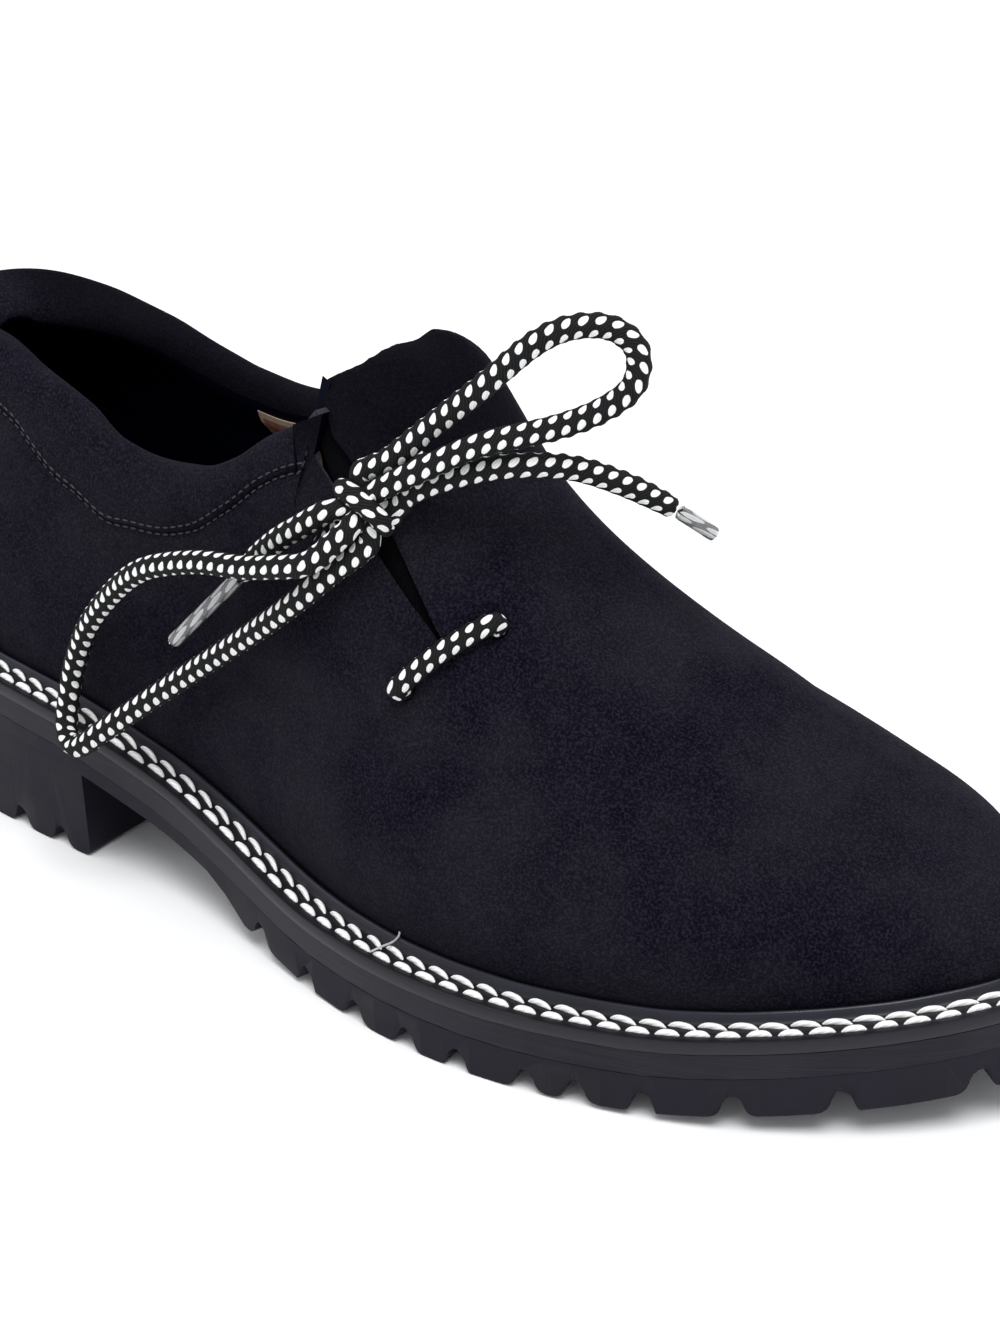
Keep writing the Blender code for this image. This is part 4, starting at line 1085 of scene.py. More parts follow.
@dataclass
class Studio:
    """Floor, lights and camera."""

    azimuth: float = 40.0
    elevation: float = 27.5
    roll: float = -2.5
    distance: float = 600.0
    focal_pixels: float = 2944.0
    frame_pixels: float = 1000.0
    target: Triple = (176.95, 0.0, 57.68)
    sensor: float = 36.0
    floor_shade: Triple = (0.97, 0.97, 0.97)
    surround: Triple = (0.96, 0.98, 1.0)
    surround_strength: float = 0.70
    lamps: tuple[tuple[str, Triple, float, float], ...] = (
        ("key_lamp", (0.55, -0.55, 1.9), 1.1, 30.0),
        ("side_lamp", (-1.5, -0.9, 1.1), 1.0, 3.0),
        ("back_lamp", (0.6, 1.5, 1.3), 1.2, 6.0),
    )

    def camera(self) -> None:
        """Places the camera at the photograph's angle, rolled as it is there."""
        a, e, r = (math.radians(value) for value in (self.azimuth, self.elevation, self.roll))
        back = Vector((math.sin(a) * math.cos(e), -math.cos(a) * math.cos(e), math.sin(e)))
        right = Vector((math.cos(a), math.sin(a), 0.0))
        up = back.cross(right)
        across = right * math.cos(r) + up * math.sin(r)
        above = up * math.cos(r) - right * math.sin(r)
        data = bpy.data.cameras.new("photo_camera")
        data.sensor_fit = "HORIZONTAL"
        data.sensor_width = self.sensor
        data.lens = self.focal_pixels / self.frame_pixels * self.sensor
        data.clip_start = 0.01
        camera = linked("photo_camera", data)
        turned = Matrix((across, above, back)).transposed().to_4x4()
        place = Vector(in_metres(np.array(self.target))) + back * self.distance * MM
        camera.matrix_world = Matrix.Translation(place) @ turned
        bpy.context.scene.camera = camera

    def floor(self) -> None:
        """Lays the plain pale floor."""
        deselect()
        bpy.ops.mesh.primitive_plane_add(size=12.0, location=(0.0, 0.0, -0.0002))
        floor = bpy.context.object
        floor.name = "floor"
        finish = Finish("pale_floor", 0.9, specular=0.0)
        finish.put("Base Color", self.floor_shade)
        dress(floor, finish.material)

    def lamp(self, name: str, place: Sequence[float], size: float, power: float) -> None:
        """Hangs a soft square lamp that points at the shoe."""
        data = bpy.data.lights.new(name, "AREA")
        data.energy = power
        data.size = size
        lamp = linked(name, data)
        lamp.location = place
        lamp.rotation_euler = Vector(place).to_track_quat("Z", "Y").to_euler()

    def lights(self) -> None:
        """Sets an even white surround with soft lamps over it."""
        world = bpy.data.worlds.new("white_surround")
        world.use_nodes = True
        background = world.node_tree.nodes["Background"]
        background.inputs["Color"].default_value = colour(self.surround)
        background.inputs["Strength"].default_value = self.surround_strength
        bpy.context.scene.world = world
        for lamp in self.lamps:
            self.lamp(*lamp)
        bpy.context.scene.view_settings.view_transform = "Standard"


@dataclass(frozen=True)
class Crease:
    """A soft trough, or a ridge where its depth is negative, between two places on the upper."""

    start: tuple[float, float]
    end: tuple[float, float]
    width: float
    depth: float


@dataclass
class Upper:
    """The suede shell with its slit, its lace holes and its raised lip, and what lies inside it."""

    last: Last
    quarter_steps: int = 120
    vamp_steps: int = 84
    rows: int = 92
    front: float = 0.572
    lip_middle: float = 0.514
    collar_end: float = 147.2
    corner_length: float = 12.0
    corner_height: float = 0.65 * BACK_HEIGHT
    lip_roll: float = 2.2
    turn_reach: float = 17.0
    hole_dip: float = 0.55
    cut_dip: float = 0.5
    edge_dip: float = 0.6
    waviness: float = 0.09
    hole: float = 5.6
    holes: tuple[tuple[float, float], ...] = ((0.523, 0.305), (0.592, 0.260), (0.565, 0.425), (0.635, 0.381))
    creases: tuple[Crease, ...] = (
        Crease((0.640, 0.362), (0.668, 0.334), 2.6, 0.7),
        Crease((0.632, 0.300), (0.655, 0.250), 4.0, 0.35),
        Crease((0.690, 0.300), (0.725, 0.640), 8.0, 0.45),
        Crease((0.745, 0.260), (0.765, 0.600), 9.0, 0.35),
        Crease((0.600, 0.560), (0.655, 0.740), 8.0, 0.5),
        Crease((0.330, 0.200), (0.455, 0.110), 9.0, 0.6),
        Crease((0.540, 0.180), (0.590, 0.090), 9.0, -0.35),
        Crease((0.350, 0.820), (0.450, 0.900), 10.0, 0.5),
        Crease((0.100, 0.220), (0.240, 0.180), 9.0, 0.3),
    )

    def collar_row(self, x: float, side: Side) -> tuple[float, float]:
        """Shares of the girth of the collar's lower seam and of its top line."""
        column = "inner" if side is Side.INNER else "outer"
        top = float(TOP_LINE.read(column, x / LENGTH)) * BACK_HEIGHT
        seam = self.last.girth_at(x, top - float(COLLAR_DEPTH.read(column, x / LENGTH)), side)
        return seam, self.last.girth_at(x, top, side)

    def spokes(self) -> Array:
        """Matching places of the seat and the opening, round the shoe from the heel's back.

        Returns:
            The station and girth at the seat, the same at the opening, and how far forward
            each lies in the forefoot.
        """
        last = self.last
        front = self.front * LENGTH
        corner = LIP.rows[0, 1] * LENGTH
        rows: dict[Side, list] = {Side.OUTER: [], Side.INNER: []}
        for i in range(self.quarter_steps + 1):
            step = i / self.quarter_steps
            share = step**2 * (2.25 - 1.25 * step)
            x = last.back + (front - last.back) * share
            top = last.back + (corner - last.back) * share
            for side, found in rows.items():
                found.append((x, side.value, top, self.collar_row(top, side)[0], 0.0))
        for i in range(1, self.vamp_steps + 1):
            forward = i / (self.vamp_steps + 1)
            x = last.toe - (last.toe - front) * (1 - forward) ** 2
            for side, corner_girth in ((Side.OUTER, LIP.rows[0, 0]), (Side.INNER, LIP.rows[-1, 0])):
                girth = corner_girth + (self.lip_middle - corner_girth) * forward
                rows[side].append((x, side.value, float(LIP.read("along", girth)) * LENGTH, girth, forward))
        tip = (last.toe, 0.5, float(LIP.read("along", self.lip_middle)) * LENGTH, self.lip_middle, 1.0)
        return np.array(rows[Side.OUTER] + [tip] + rows[Side.INNER][::-1][:-1])

    def places(self, share: float, spokes: Array) -> Array:
        """Stations and girths at a share of each spoke, which fan out from the toe's tip."""
        x, girth, top, top_girth, forward = spokes.T
        plain = np.stack([x + (top - x) * share, girth + (top_girth - girth) * share])
        low, high = np.sqrt(self.last.toe - x), np.sqrt(self.last.toe - top)
        low, high = low * np.exp(1j * np.pi * girth), high * np.exp(1j * np.pi * top_girth)
        line = low + (high - low) * share
        fan = np.stack([self.last.toe - np.abs(line) ** 2, np.angle(line) % (2 * np.pi) / np.pi])
        fan[1] = np.where(share == 0, girth, fan[1])
        return plain + (fan - plain) * forward

    def cut_distance(self, x: Array, girth: Array) -> Array:
        """Distance of places from the edge of the slit or of a hole, negative inside it."""
        points = self.last.at(x, girth)
        step = np.linspace(0, 1, 160)
        line = self.last.at(SLIT.read("along", step) * LENGTH, SLIT.read("girth", step))
        half = SLIT.read("width", step) / 2
        distance = np.full(x.shape, 99.0)
        near = (x > 125) & (x < 210) & (girth > 0.2) & (girth < 0.5)
        away = np.linalg.norm(points[near][:, None] - line[None], axis=2) - half
        distance[near] = away.min(axis=1)
        for along, share in self.holes:
            middle = self.last.at(along * LENGTH, share)
            distance = np.minimum(distance, np.linalg.norm(points - middle, axis=-1) - self.hole / 2)
        return distance

    def snap(self, x: Array, girth: Array) -> tuple[Array, Array, Array]:
        """Moves the places next to a cut onto its edge, and gives each place's side of it.

        Args:
            x: Stations of the grid.
            girth: Shares of the girth of the grid.

        Returns:
            The moved stations and girths, and -1 inside a cut, 0 on its edge and 1 outside.
        """
        distance = self.cut_distance(x, girth)
        chosen = np.zeros(x.shape, bool)
        for axis in (0, 1):
            far = np.roll(distance, -1, axis=axis)
            crossing = distance * far < 0
            if axis == 0:
                crossing[-1] = False
            nearer = np.abs(distance) <= np.abs(far)
            chosen |= crossing & nearer
            chosen |= np.roll(crossing & ~nearer, 1, axis=axis)
        probe, reach, girth_of_one_mm = 0.2, 1.2, 1 / 250.0
        swing = probe * girth_of_one_mm
        for _ in range(4):
            place, turn = x[chosen], girth[chosen]
            at = self.cut_distance(place, turn)
            along = self.cut_distance(place + probe, turn) - self.cut_distance(place - probe, turn)
            over = self.cut_distance(place, turn + swing) - self.cut_distance(place, turn - swing)
            along, over = along / (2 * probe), over / (2 * probe)
            size = np.maximum(along**2 + over**2, 0.2)
            x[chosen] -= np.clip(at * along / size, -reach, reach)
            girth[chosen] -= np.clip(at * over / size, -reach, reach) * girth_of_one_mm
        side = np.sign(self.cut_distance(x, girth))
        side[chosen] = 0
        return x, girth, side

    def relief(self, points: Array, x: Array, girth: Array, opening: Array) -> Array:
        """How far the suede stands out of the last at each place.

        Args:
            points: The places on the last.
            x: Their stations.
            girth: Their shares of the girth.
            opening: Distance of each from the edge of the opening.

        Returns:
            The lift in millimetres.
        """
        lift = np.zeros(x.shape)
        for crease in self.creases:
            ends = [self.last.at(along * LENGTH, share) for along, share in (crease.start, crease.end)]
            way = ends[1] - ends[0]
            share = np.clip(((points - ends[0]) @ way) / (way @ way), 0, 1)
            away = np.linalg.norm(points - ends[0] - share[..., None] * way, axis=-1)
            strength = 0.35 + 0.65 * np.sin(np.pi * share)
            lift -= crease.depth * np.exp(-((away / crease.width) ** 2)) * strength
        for along, share in self.holes:
            away = np.linalg.norm(points - self.last.at(along * LENGTH, share), axis=-1)
            lift -= self.hole_dip * np.exp(-(((away - self.hole / 2) / 2.2) ** 2))
        waves = np.sin(x / 9.0 + 5 * girth) * np.sin(girth * 31 + x / 23) + 0.6 * np.sin(x / 5.3 - girth * 40)
        lift += self.waviness * waves
        cut = np.clip(self.cut_distance(x, girth), 0, 3)
        lift -= self.cut_dip * np.clip(1 - cut / 1.6, 0, 1) ** 2
        lift -= self.edge_dip * np.clip(1 - opening / 2.2, 0, 1) ** 2
        over_instep = smooth_read((0.43, 0.49, 0.58, 0.64), (0.0, 1.0, 1.0, 0.0), girth)
        lift -= self.lip_roll * over_instep * np.clip(1 - opening / 10, 0, 1) ** 2
        return lift + LIP_TURN.read("lift", girth) * np.exp(-((opening / self.turn_reach) ** 2))

    def shell(self) -> Piece:
        """Builds the suede shell."""
        spokes = self.spokes()
        shares = (1 - np.cos(np.pi * np.linspace(0, 1, self.rows + 1))) / 2
        shares = 0.45 * shares + 0.55 * np.linspace(0, 1, self.rows + 1)
        grid = np.array([self.places(share, spokes) for share in shares])
        x, girth = grid[:, 0], grid[:, 1]
        x, girth, side = self.snap(x, girth)
        points = self.last.at(x, girth)
        opening = np.linalg.norm(points - points[-1][None], axis=-1)
        normal = self.normals(points)
        points = points + normal * self.relief(points, x, girth, opening)[..., None]
        rise = np.clip(normal[0][:, 2], 0, None)
        points[0][:, 2] = welt_top(points[0][:, 0]) + 0.1 + WALL * rise
        rows, count = x.shape
        faces = []
        for i in range(rows - 1):
            for j in range(count):
                k = (j + 1) % count
                corners = [(i, j), (i, k), (i + 1, k), (i + 1, j)]
                kept = [a * count + b for a, b in corners if side[a, b] >= 0]
                if len(kept) >= 3 and any(side[a, b] > 0 for a, b in corners):
                    faces.append(kept)
        mesh = bpy.data.meshes.new("suede_upper")
        mesh.from_pydata(in_metres(points.reshape(-1, 3)).tolist(), [], faces)
        piece = linked("suede_upper", mesh)
        only(piece)
        bpy.ops.object.mode_set(mode="EDIT")
        bpy.ops.mesh.select_all(action="SELECT")
        bpy.ops.mesh.delete_loose()
        bpy.ops.object.mode_set(mode="OBJECT")
        wall = piece.modifiers.new("wall", "SOLIDIFY")
        wall.thickness = WALL * MM
        wall.offset = -1.0
        wall.material_offset = 1
        wall.material_offset_rim = 2
        # The shell's suede keeps the default painted shade, darker from about 100 mm up
        finishes = Suede("black_suede"), Lining("navy_lining"), CutEdge("cut_leather")
        dress(piece, *(finish.material() for finish in finishes))
        apply_modifiers(piece)
        self.share_finishes(piece)
        smooth(piece, 50.0)
        return settle(piece, Slot.SUEDE, "upper")

    def share_finishes(self, piece: Piece) -> None:
        """Gives the top line's edge the lining, and the quarter's front corner the suede.

        Args:
            piece: The shell, whose slots are the suede, the lining and the cut edge.
        """
        suede, lining = 0, 1
        corner = (self.collar_end - self.corner_length - MIDDLE[0]) * MM
        least_outward = 0.35
        for face in piece.data.polygons:
            if face.material_index == suede or face.center.z < self.corner_height * MM:
                continue
            if face.center.x < corner:
                face.material_index = lining
            elif face.center.y < 0 and face.normal.y < -least_outward:
                face.material_index = suede

    def normals(self, points: Array) -> Array:
        """Unit directions out of a closed grid of points."""
        around = np.roll(points, -1, axis=1) - np.roll(points, 1, axis=1)
        over = np.gradient(points, axis=0)
        normal = np.cross(around, over)
        size = np.linalg.norm(normal, axis=-1, keepdims=True)
        return normal / np.maximum(size, 1e-9)

    def inside(self) -> None:
        """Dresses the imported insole, and the gusset behind the slit."""
        dress(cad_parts["insole"], Lining("insole_lining", (0.0015, 0.0018, 0.0045)).material())
        # The gusset's suede also keeps the default painted shade, darker from about 100 mm up
        shades = (0.0010, 0.0008, 0.0012), (0.0020, 0.0016, 0.0022), (0.005, 0.004, 0.006)
        dress(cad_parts["tongue"], Suede("gusset_suede", *shades).material())

    def build(self) -> None:
        """Builds the shell and dresses what lies inside it."""
        self.shell()
        self.inside()


# The padded collar's section: height from its seam to the top line, and distance out of the
# upper's surface as a share of its padding
COLLAR_SECTION = Table("up out", (
    (-0.03, -0.06),
    (0.00, 0.08),
    (0.10, 0.15),
    (0.38, 0.23),
    (0.70, 0.20),
    (0.90, 0.05),
    (1.00, -0.22),
    (1.01, -0.52),
    (0.93, -0.85),
    (0.72, -1.02),
    (0.42, -0.96),
    (0.14, -0.72),
    (-0.04, -0.48),
    (-0.09, -0.30),
))


@dataclass
class Collar:
    """The padded collar with the double row of stitches at its seam, and the label inside it."""

    upper: Upper
    padding: float = 6.2
    steps: int = 150
    round_points: int = 44
    stitch_pitch: float = 2.3
    stitch_length: float = 1.6
    stitch_width: float = 0.42
    rows_apart: float = 1.7
    label_middle: float = 0.357 * LENGTH
    label_length: float = 15.0
    outer_end: float = 150.4
    heel_roll: float = 1.6
    heel_reach: float = 46.0
    end_length: float = 5.0
    lining_turn: tuple[float, float] = (0.62, 0.98)

    def line(self, places: Sequence[tuple[float, Side]]) -> tuple[Array, Array, Array]:
        """The collar's seam, and the directions up and out of it.

        Args:
            places: Stations and sides along the collar.

        Returns:
            The seam's points, the way up to the top line, and the unit directions out.
        """
        last = self.upper.last
        seams, tops = [], []
        for x, side in places:
            seam, top = self.upper.collar_row(x, side)
            seams.append(last.at(x, seam))
            tops.append(last.at(x, top))
        seams, tops = np.array(seams), np.array(tops)
        up = tops - seams
        out = unit(np.cross(up, np.gradient((seams + tops) / 2, axis=0)))
        return seams, up, out

    def stations(self, steps: int) -> list[tuple[float, Side]]:
        """Places from the collar's outer front end, round the heel, to its inner end."""
        back = self.upper.last.back
        found = []
        for step in np.linspace(-1, 1, 2 * steps + 1):
            side, end = (Side.INNER, self.upper.collar_end) if step > 0 else (Side.OUTER, self.outer_end)
            found.append((back + (end - back) * step**2, side))
        return found

    def pad(self) -> None:
        """Builds the padded band, drawn in at its ends, with soft wrinkles in its suede."""
        seams, up, out = self.line(self.stations(self.steps))
        shape = closed_curve(COLLAR_SECTION.rows, self.round_points)
        shape = np.vstack([shape, shape[:1]])
        along = lengths_along(seams)
        ends = np.minimum(along, along[-1] - along)
        full = np.sqrt(np.clip(1 - (1 - np.clip(ends / self.end_length, 0, 1)) ** 2, 0, 1))
        middle = np.array((0.50, -0.32))
        profile = middle + (shape - middle)[None] * np.stack([0.6 + 0.4 * full, full], axis=-1)[:, None]
        outer_face = np.clip((profile[..., 1] + 0.32) / 0.5, 0, 1)
        reach = np.array([x for x, _ in self.stations(self.steps)]) - self.upper.last.back
        roll = 1 + self.heel_roll * np.exp(-((reach / self.heel_reach) ** 2))
        inner = profile[..., 1] + 0.22
        profile[..., 1] = np.where(inner < 0, inner * roll[:, None] - 0.22, profile[..., 1])
        wrinkle = 0.10 * np.sin(along / 4.1 + 1.5 * np.sin(along / 17)) + 0.14 * np.sin(along / 11.3)
        tug = np.exp(-((profile[..., 0] - 0.08) / 0.2) ** 2)
        pucker = 0.12 * np.sin(along * 2 * np.pi / (self.stitch_pitch * 2))[:, None] * tug
        lift = outer_face * (wrinkle[:, None] + pucker) * full[:, None]
        points = (
            seams[:, None]
            + up[:, None] * profile[..., :1]
            + out[:, None] * (profile[..., 1:] * self.padding + lift[..., None])
        )
        caps = [np.repeat(row.mean(axis=0)[None], len(row), axis=0)[None] for row in (points[0], points[-1])]
        points = np.concatenate([caps[0], points, caps[1]])
        near_end = np.concatenate([[0.0], ends, [0.0]])[:, None]
        marks = np.stack(np.broadcast_arrays(np.linspace(0, 1, self.round_points + 1), near_end), axis=-1)
        piece = grid_piece("collar_padding", points, marks)
        # Painted shade: the collar's suede darkens towards its inner side
        suede = Suede("padded_suede", brushed=(0.0060, 0.0052, 0.0084), deep=("Y", 0.0, 0.014))
        dress(piece, suede.material(), Lining("collar_lining").material())
        low, high = self.lining_turn
        turn = np.zeros(len(piece.data.loops) * 2, np.float32)
        piece.data.uv_layers.active.data.foreach_get("uv", turn)
        for face in piece.data.polygons:
            share, end = turn[face.loop_start * 2], turn[face.loop_start * 2 + 1]
            face.material_index = int(low < share < high and end > self.end_length)
        smooth(piece, 80.0)
        settle(piece, Slot.PADDED, "collar")

    def stitch(self) -> Piece:
        """One small stitch, as a ball drawn out along X."""
        deselect()
        bpy.ops.mesh.primitive_uv_sphere_add(segments=8, ring_count=6, radius=0.5)
        return bpy.context.object

    def stitches(self) -> None:
        """Sews the double row along the seam, which turns up at the collar's front corner."""
        last = self.upper.last
        seams, up, out = self.line(self.stations(self.steps))
        ups = unit(up)
        front = last.lifted(np.array([150.8, 150.6]), np.array([0.360, 0.372]), np.array([0.1, 0.1]))
        rows = []
        for offset, lift in ((-0.9, 0.15), (self.rows_apart - 0.9, 1.05)):
            row = seams + ups * offset + out * lift
            if offset < 0:
                row = np.vstack([front[::-1], row])
            rows.append(even_steps(row, self.stitch_pitch))
        pattern = self.stitch()
        base = np.array([vertex.co[:] for vertex in pattern.data.vertices])
        placed = []
        for row in rows:
            ahead = unit(np.gradient(row, axis=0))
            middle = np.array([60.0, 0.0, 60.0])
            outward = unit((row - middle) * (1.0, 1.0, 0.15))
            across = unit(np.cross(outward, ahead))
            outward = np.cross(ahead, across)
            for centre, a, b, c in zip(row, ahead, across, outward):
                shape = base * (self.stitch_length, self.stitch_width, self.stitch_width)
                placed.append(centre + shape[:, :1] * a + shape[:, 1:2] * b + shape[:, 2:] * c)
        piece = copies("collar_stitches", pattern, np.array(placed), marks=True)
        thread = Thread("grey_thread", (0.085, 0.080, 0.095), (0.018, 0.017, 0.021), plies=3.0)
        dress(piece, thread.material())
        smooth(piece, 60.0)
        settle(piece, Slot.PADDED)

    def label(self) -> None:
        """Sets the small bare label on the lining of the inner side."""
        half = self.label_length / 2
        start, end = self.label_middle - half, self.label_middle + half
        seams, up, out = self.line([(x, Side.INNER) for x in np.linspace(start, end, 25)])
        rise = np.linspace(0, 1, 17)
        heights = 0.50 - 0.95 * rise
        depths = smooth_read((-0.45, -0.05, 0.12, 0.30, 0.50), (-2.9, -2.9, -4.1, -5.6, -6.1), heights)
        points = seams[:, None] + up[:, None] * heights[:, None] + out[:, None] * depths[:, None]
        along, over = np.meshgrid(np.linspace(0, 1, 25), rise, indexing="ij")
        piece = grid_piece("label", points, np.stack([along, over], axis=-1))
        wall = piece.modifiers.new("thickness", "SOLIDIFY")
        wall.thickness = 0.7 * MM
        wall.offset = 0.0
        apply_modifiers(piece)
        dress(piece, LabelLeather("tan_label").material())
        smooth(piece, 40.0)
        settle(piece, Slot.LABEL, "inner_label")

    def build(self) -> None:
        """Builds the collar, its stitches and its label."""
        self.pad()
        self.stitches()
        self.label()


# The welt's section: share of the rim in from its edge, and millimetres over its flat face
WELT_SECTION = Table("inward height", (
    (0.000, -2.75),
    (0.000, -1.60),
    (0.010, -0.50),
    (0.030, -0.12),
    (0.090, 0.02),
    (0.180, -0.06),
    (0.260, -0.18),
    (0.340, -0.06),
    (0.460, -0.02),
    (0.580, -0.18),
    (0.660, -0.06),
    (0.710, 0.28),
    (0.740, 1.05),
    (0.770, 1.75),
    (0.800, 2.05),
    (0.835, 2.08),
    (0.870, 1.85),
    (0.900, 1.20),
    (0.925, 0.30),
    (0.960, 0.05),
    (1.230, 0.05),
    (1.230, -2.90),
    (0.100, -2.98),
    (0.020, -2.95),
))


@dataclass(frozen=True)
class StitchRow:
    """One row of the welt's stitches.

    Args:
        name: The row's name.
        depth: Its distance in from the welt's edge.
        length: The length of one stitch.
        width: Its width.
        lean: How far a stitch's front end lies further in than its back end.
        arch: How far its middle lies further in than its ends.
        start: Where the first stitch lies, as a share of the pitch.
    """

    name: str
    depth: float
    length: float
    width: float
    lean: float
    arch: float
    start: float


@dataclass
class Welt:
    """The stitched welt with its raised rand, and its two rows of white stitches."""

    steps: int = 420
    pitch: float = 5.8
    height: float = 0.85
    rows: tuple[StitchRow, ...] = (
        StitchRow("outer_stitches", 2.35, 5.3, 1.6, 0.0, 0.25, 0.0),
        StitchRow("inner_stitches", 5.0, 6.5, 1.3, -0.6, 0.45, 0.45),
    )
    stray_place: float = 183.0
    stray_route: tuple[Triple, ...] = (
        (0.0, 0.0, 0.0), (1.6, 2.0, 0.9), (2.4, 4.4, 1.0), (2.2, 6.6, 1.3), (1.4, 7.9, 2.6),
    )

    def strip(self) -> None:
        """Builds the strip all the way round."""
        loop = sole_outline(self.steps)
        loop = np.vstack([loop, loop[:1]])
        way = inward_of(loop[:-1])
        way = np.vstack([way, way[:1]])
        width = rim(loop[:, 0])
        along = lengths_along(loop)
        rings, marks = [], []
        for inward, height in np.vstack([WELT_SECTION.rows, WELT_SECTION.rows[:1]]):
            ring = loop + way * (width * inward)[:, None]
            ripple = 0.05 * np.sin(along / 3.1) * np.sin(along / 13.7) if height > 0.5 else 0.0
            rings.append(np.column_stack([ring, welt_top(ring[:, 0]) + height + ripple]))
            marks.append(np.column_stack([along, np.full(len(along), inward)]))
        piece = grid_piece("welt_strip", np.stack(rings, axis=1), np.stack(marks, axis=1))
        dress(piece, WaxedWelt("waxed_welt").material())
        smooth(piece, 50.0)
        settle(piece, Slot.WELT, "welt")

    def stitch_row(self, row: StitchRow) -> None:
        """Sews one row of stitches round the welt."""
        edge = sole_outline(1440)
        loop = inset(edge, row.depth)
        loop = np.vstack([loop, loop[:1]])
        along = lengths_along(loop)
        count = round(along[-1] / self.pitch)
        way = inward_of(edge)
        way = np.vstack([way, way[:1]])
        deselect()
        lying = (0.0, math.pi / 2, 0.0)
        bpy.ops.mesh.primitive_uv_sphere_add(segments=10, ring_count=12, radius=1.0, rotation=lying)
        pattern = bpy.context.object
        bpy.ops.object.transform_apply(location=False, rotation=True, scale=False)
        base = np.array([vertex.co[:] for vertex in pattern.data.vertices])
        draws = np.random.default_rng(7)
        placed = []
        for k in range(count):
            middle = (k + row.start) / count * along[-1]
            size = row.length * draws.uniform(0.93, 1.05)
            tilt = row.lean * draws.uniform(0.8, 1.2)
            shift = draws.uniform(-0.15, 0.15)
            s = (middle + base[:, 0] * size / 2) % along[-1]
            place = np.stack([np.interp(s, along, loop[:, i]) for i in range(2)], axis=1)
            inward = unit(np.stack([np.interp(s, along, way[:, i]) for i in range(2)], axis=1))
            plump = (0.85 + 0.15 * base[:, 0]) * (1.12 - 0.3 * base[:, 0] ** 2)
            bow = row.arch * (1 - base[:, 0] ** 2)
            across = base[:, 1] * row.width / 2 * plump + tilt * base[:, 0] + bow + shift
            flat = place + inward * across[:, None]
            sink = 0.75 * np.abs(base[:, 0]) ** 4
            rise = np.where(base[:, 2] > 0, base[:, 2] * self.height, base[:, 2] * 0.5) - sink + 0.1
            placed.append(np.column_stack([flat, welt_top(flat[:, 0]) + rise]))
        piece = copies(row.name, pattern, np.array(placed), marks=True)
        thread = Thread(row.name + "_thread", (0.93, 0.93, 0.92), (0.80, 0.80, 0.79), plies=4.0, relief=0.2)
        dress(piece, thread.material())
        smooth(piece, 60.0)
        settle(piece, Slot.LACE)

    def stray_thread(self) -> None:
        """Leaves one loose end of thread across the rows on the outer side."""
        outer, _ = sides(sole_outline(), self.stray_place)
        start = np.array([self.stray_place, outer + 1.2, welt_top(self.stray_place) + 0.9])
        path = open_curve(start + np.array(self.stray_route), 0.4)
        piece = tube("loose_thread", path, even_radius(0.22), 8)
        dress(piece, Thread("loose_thread_white", (0.8, 0.8, 0.78), (0.5, 0.5, 0.5)).material())
        settle(piece, Slot.LACE)

    def build(self) -> None:
        """Builds the strip and its stitches."""
        self.strip()
        for row in self.rows:
            self.stitch_row(row)
        self.stray_thread()


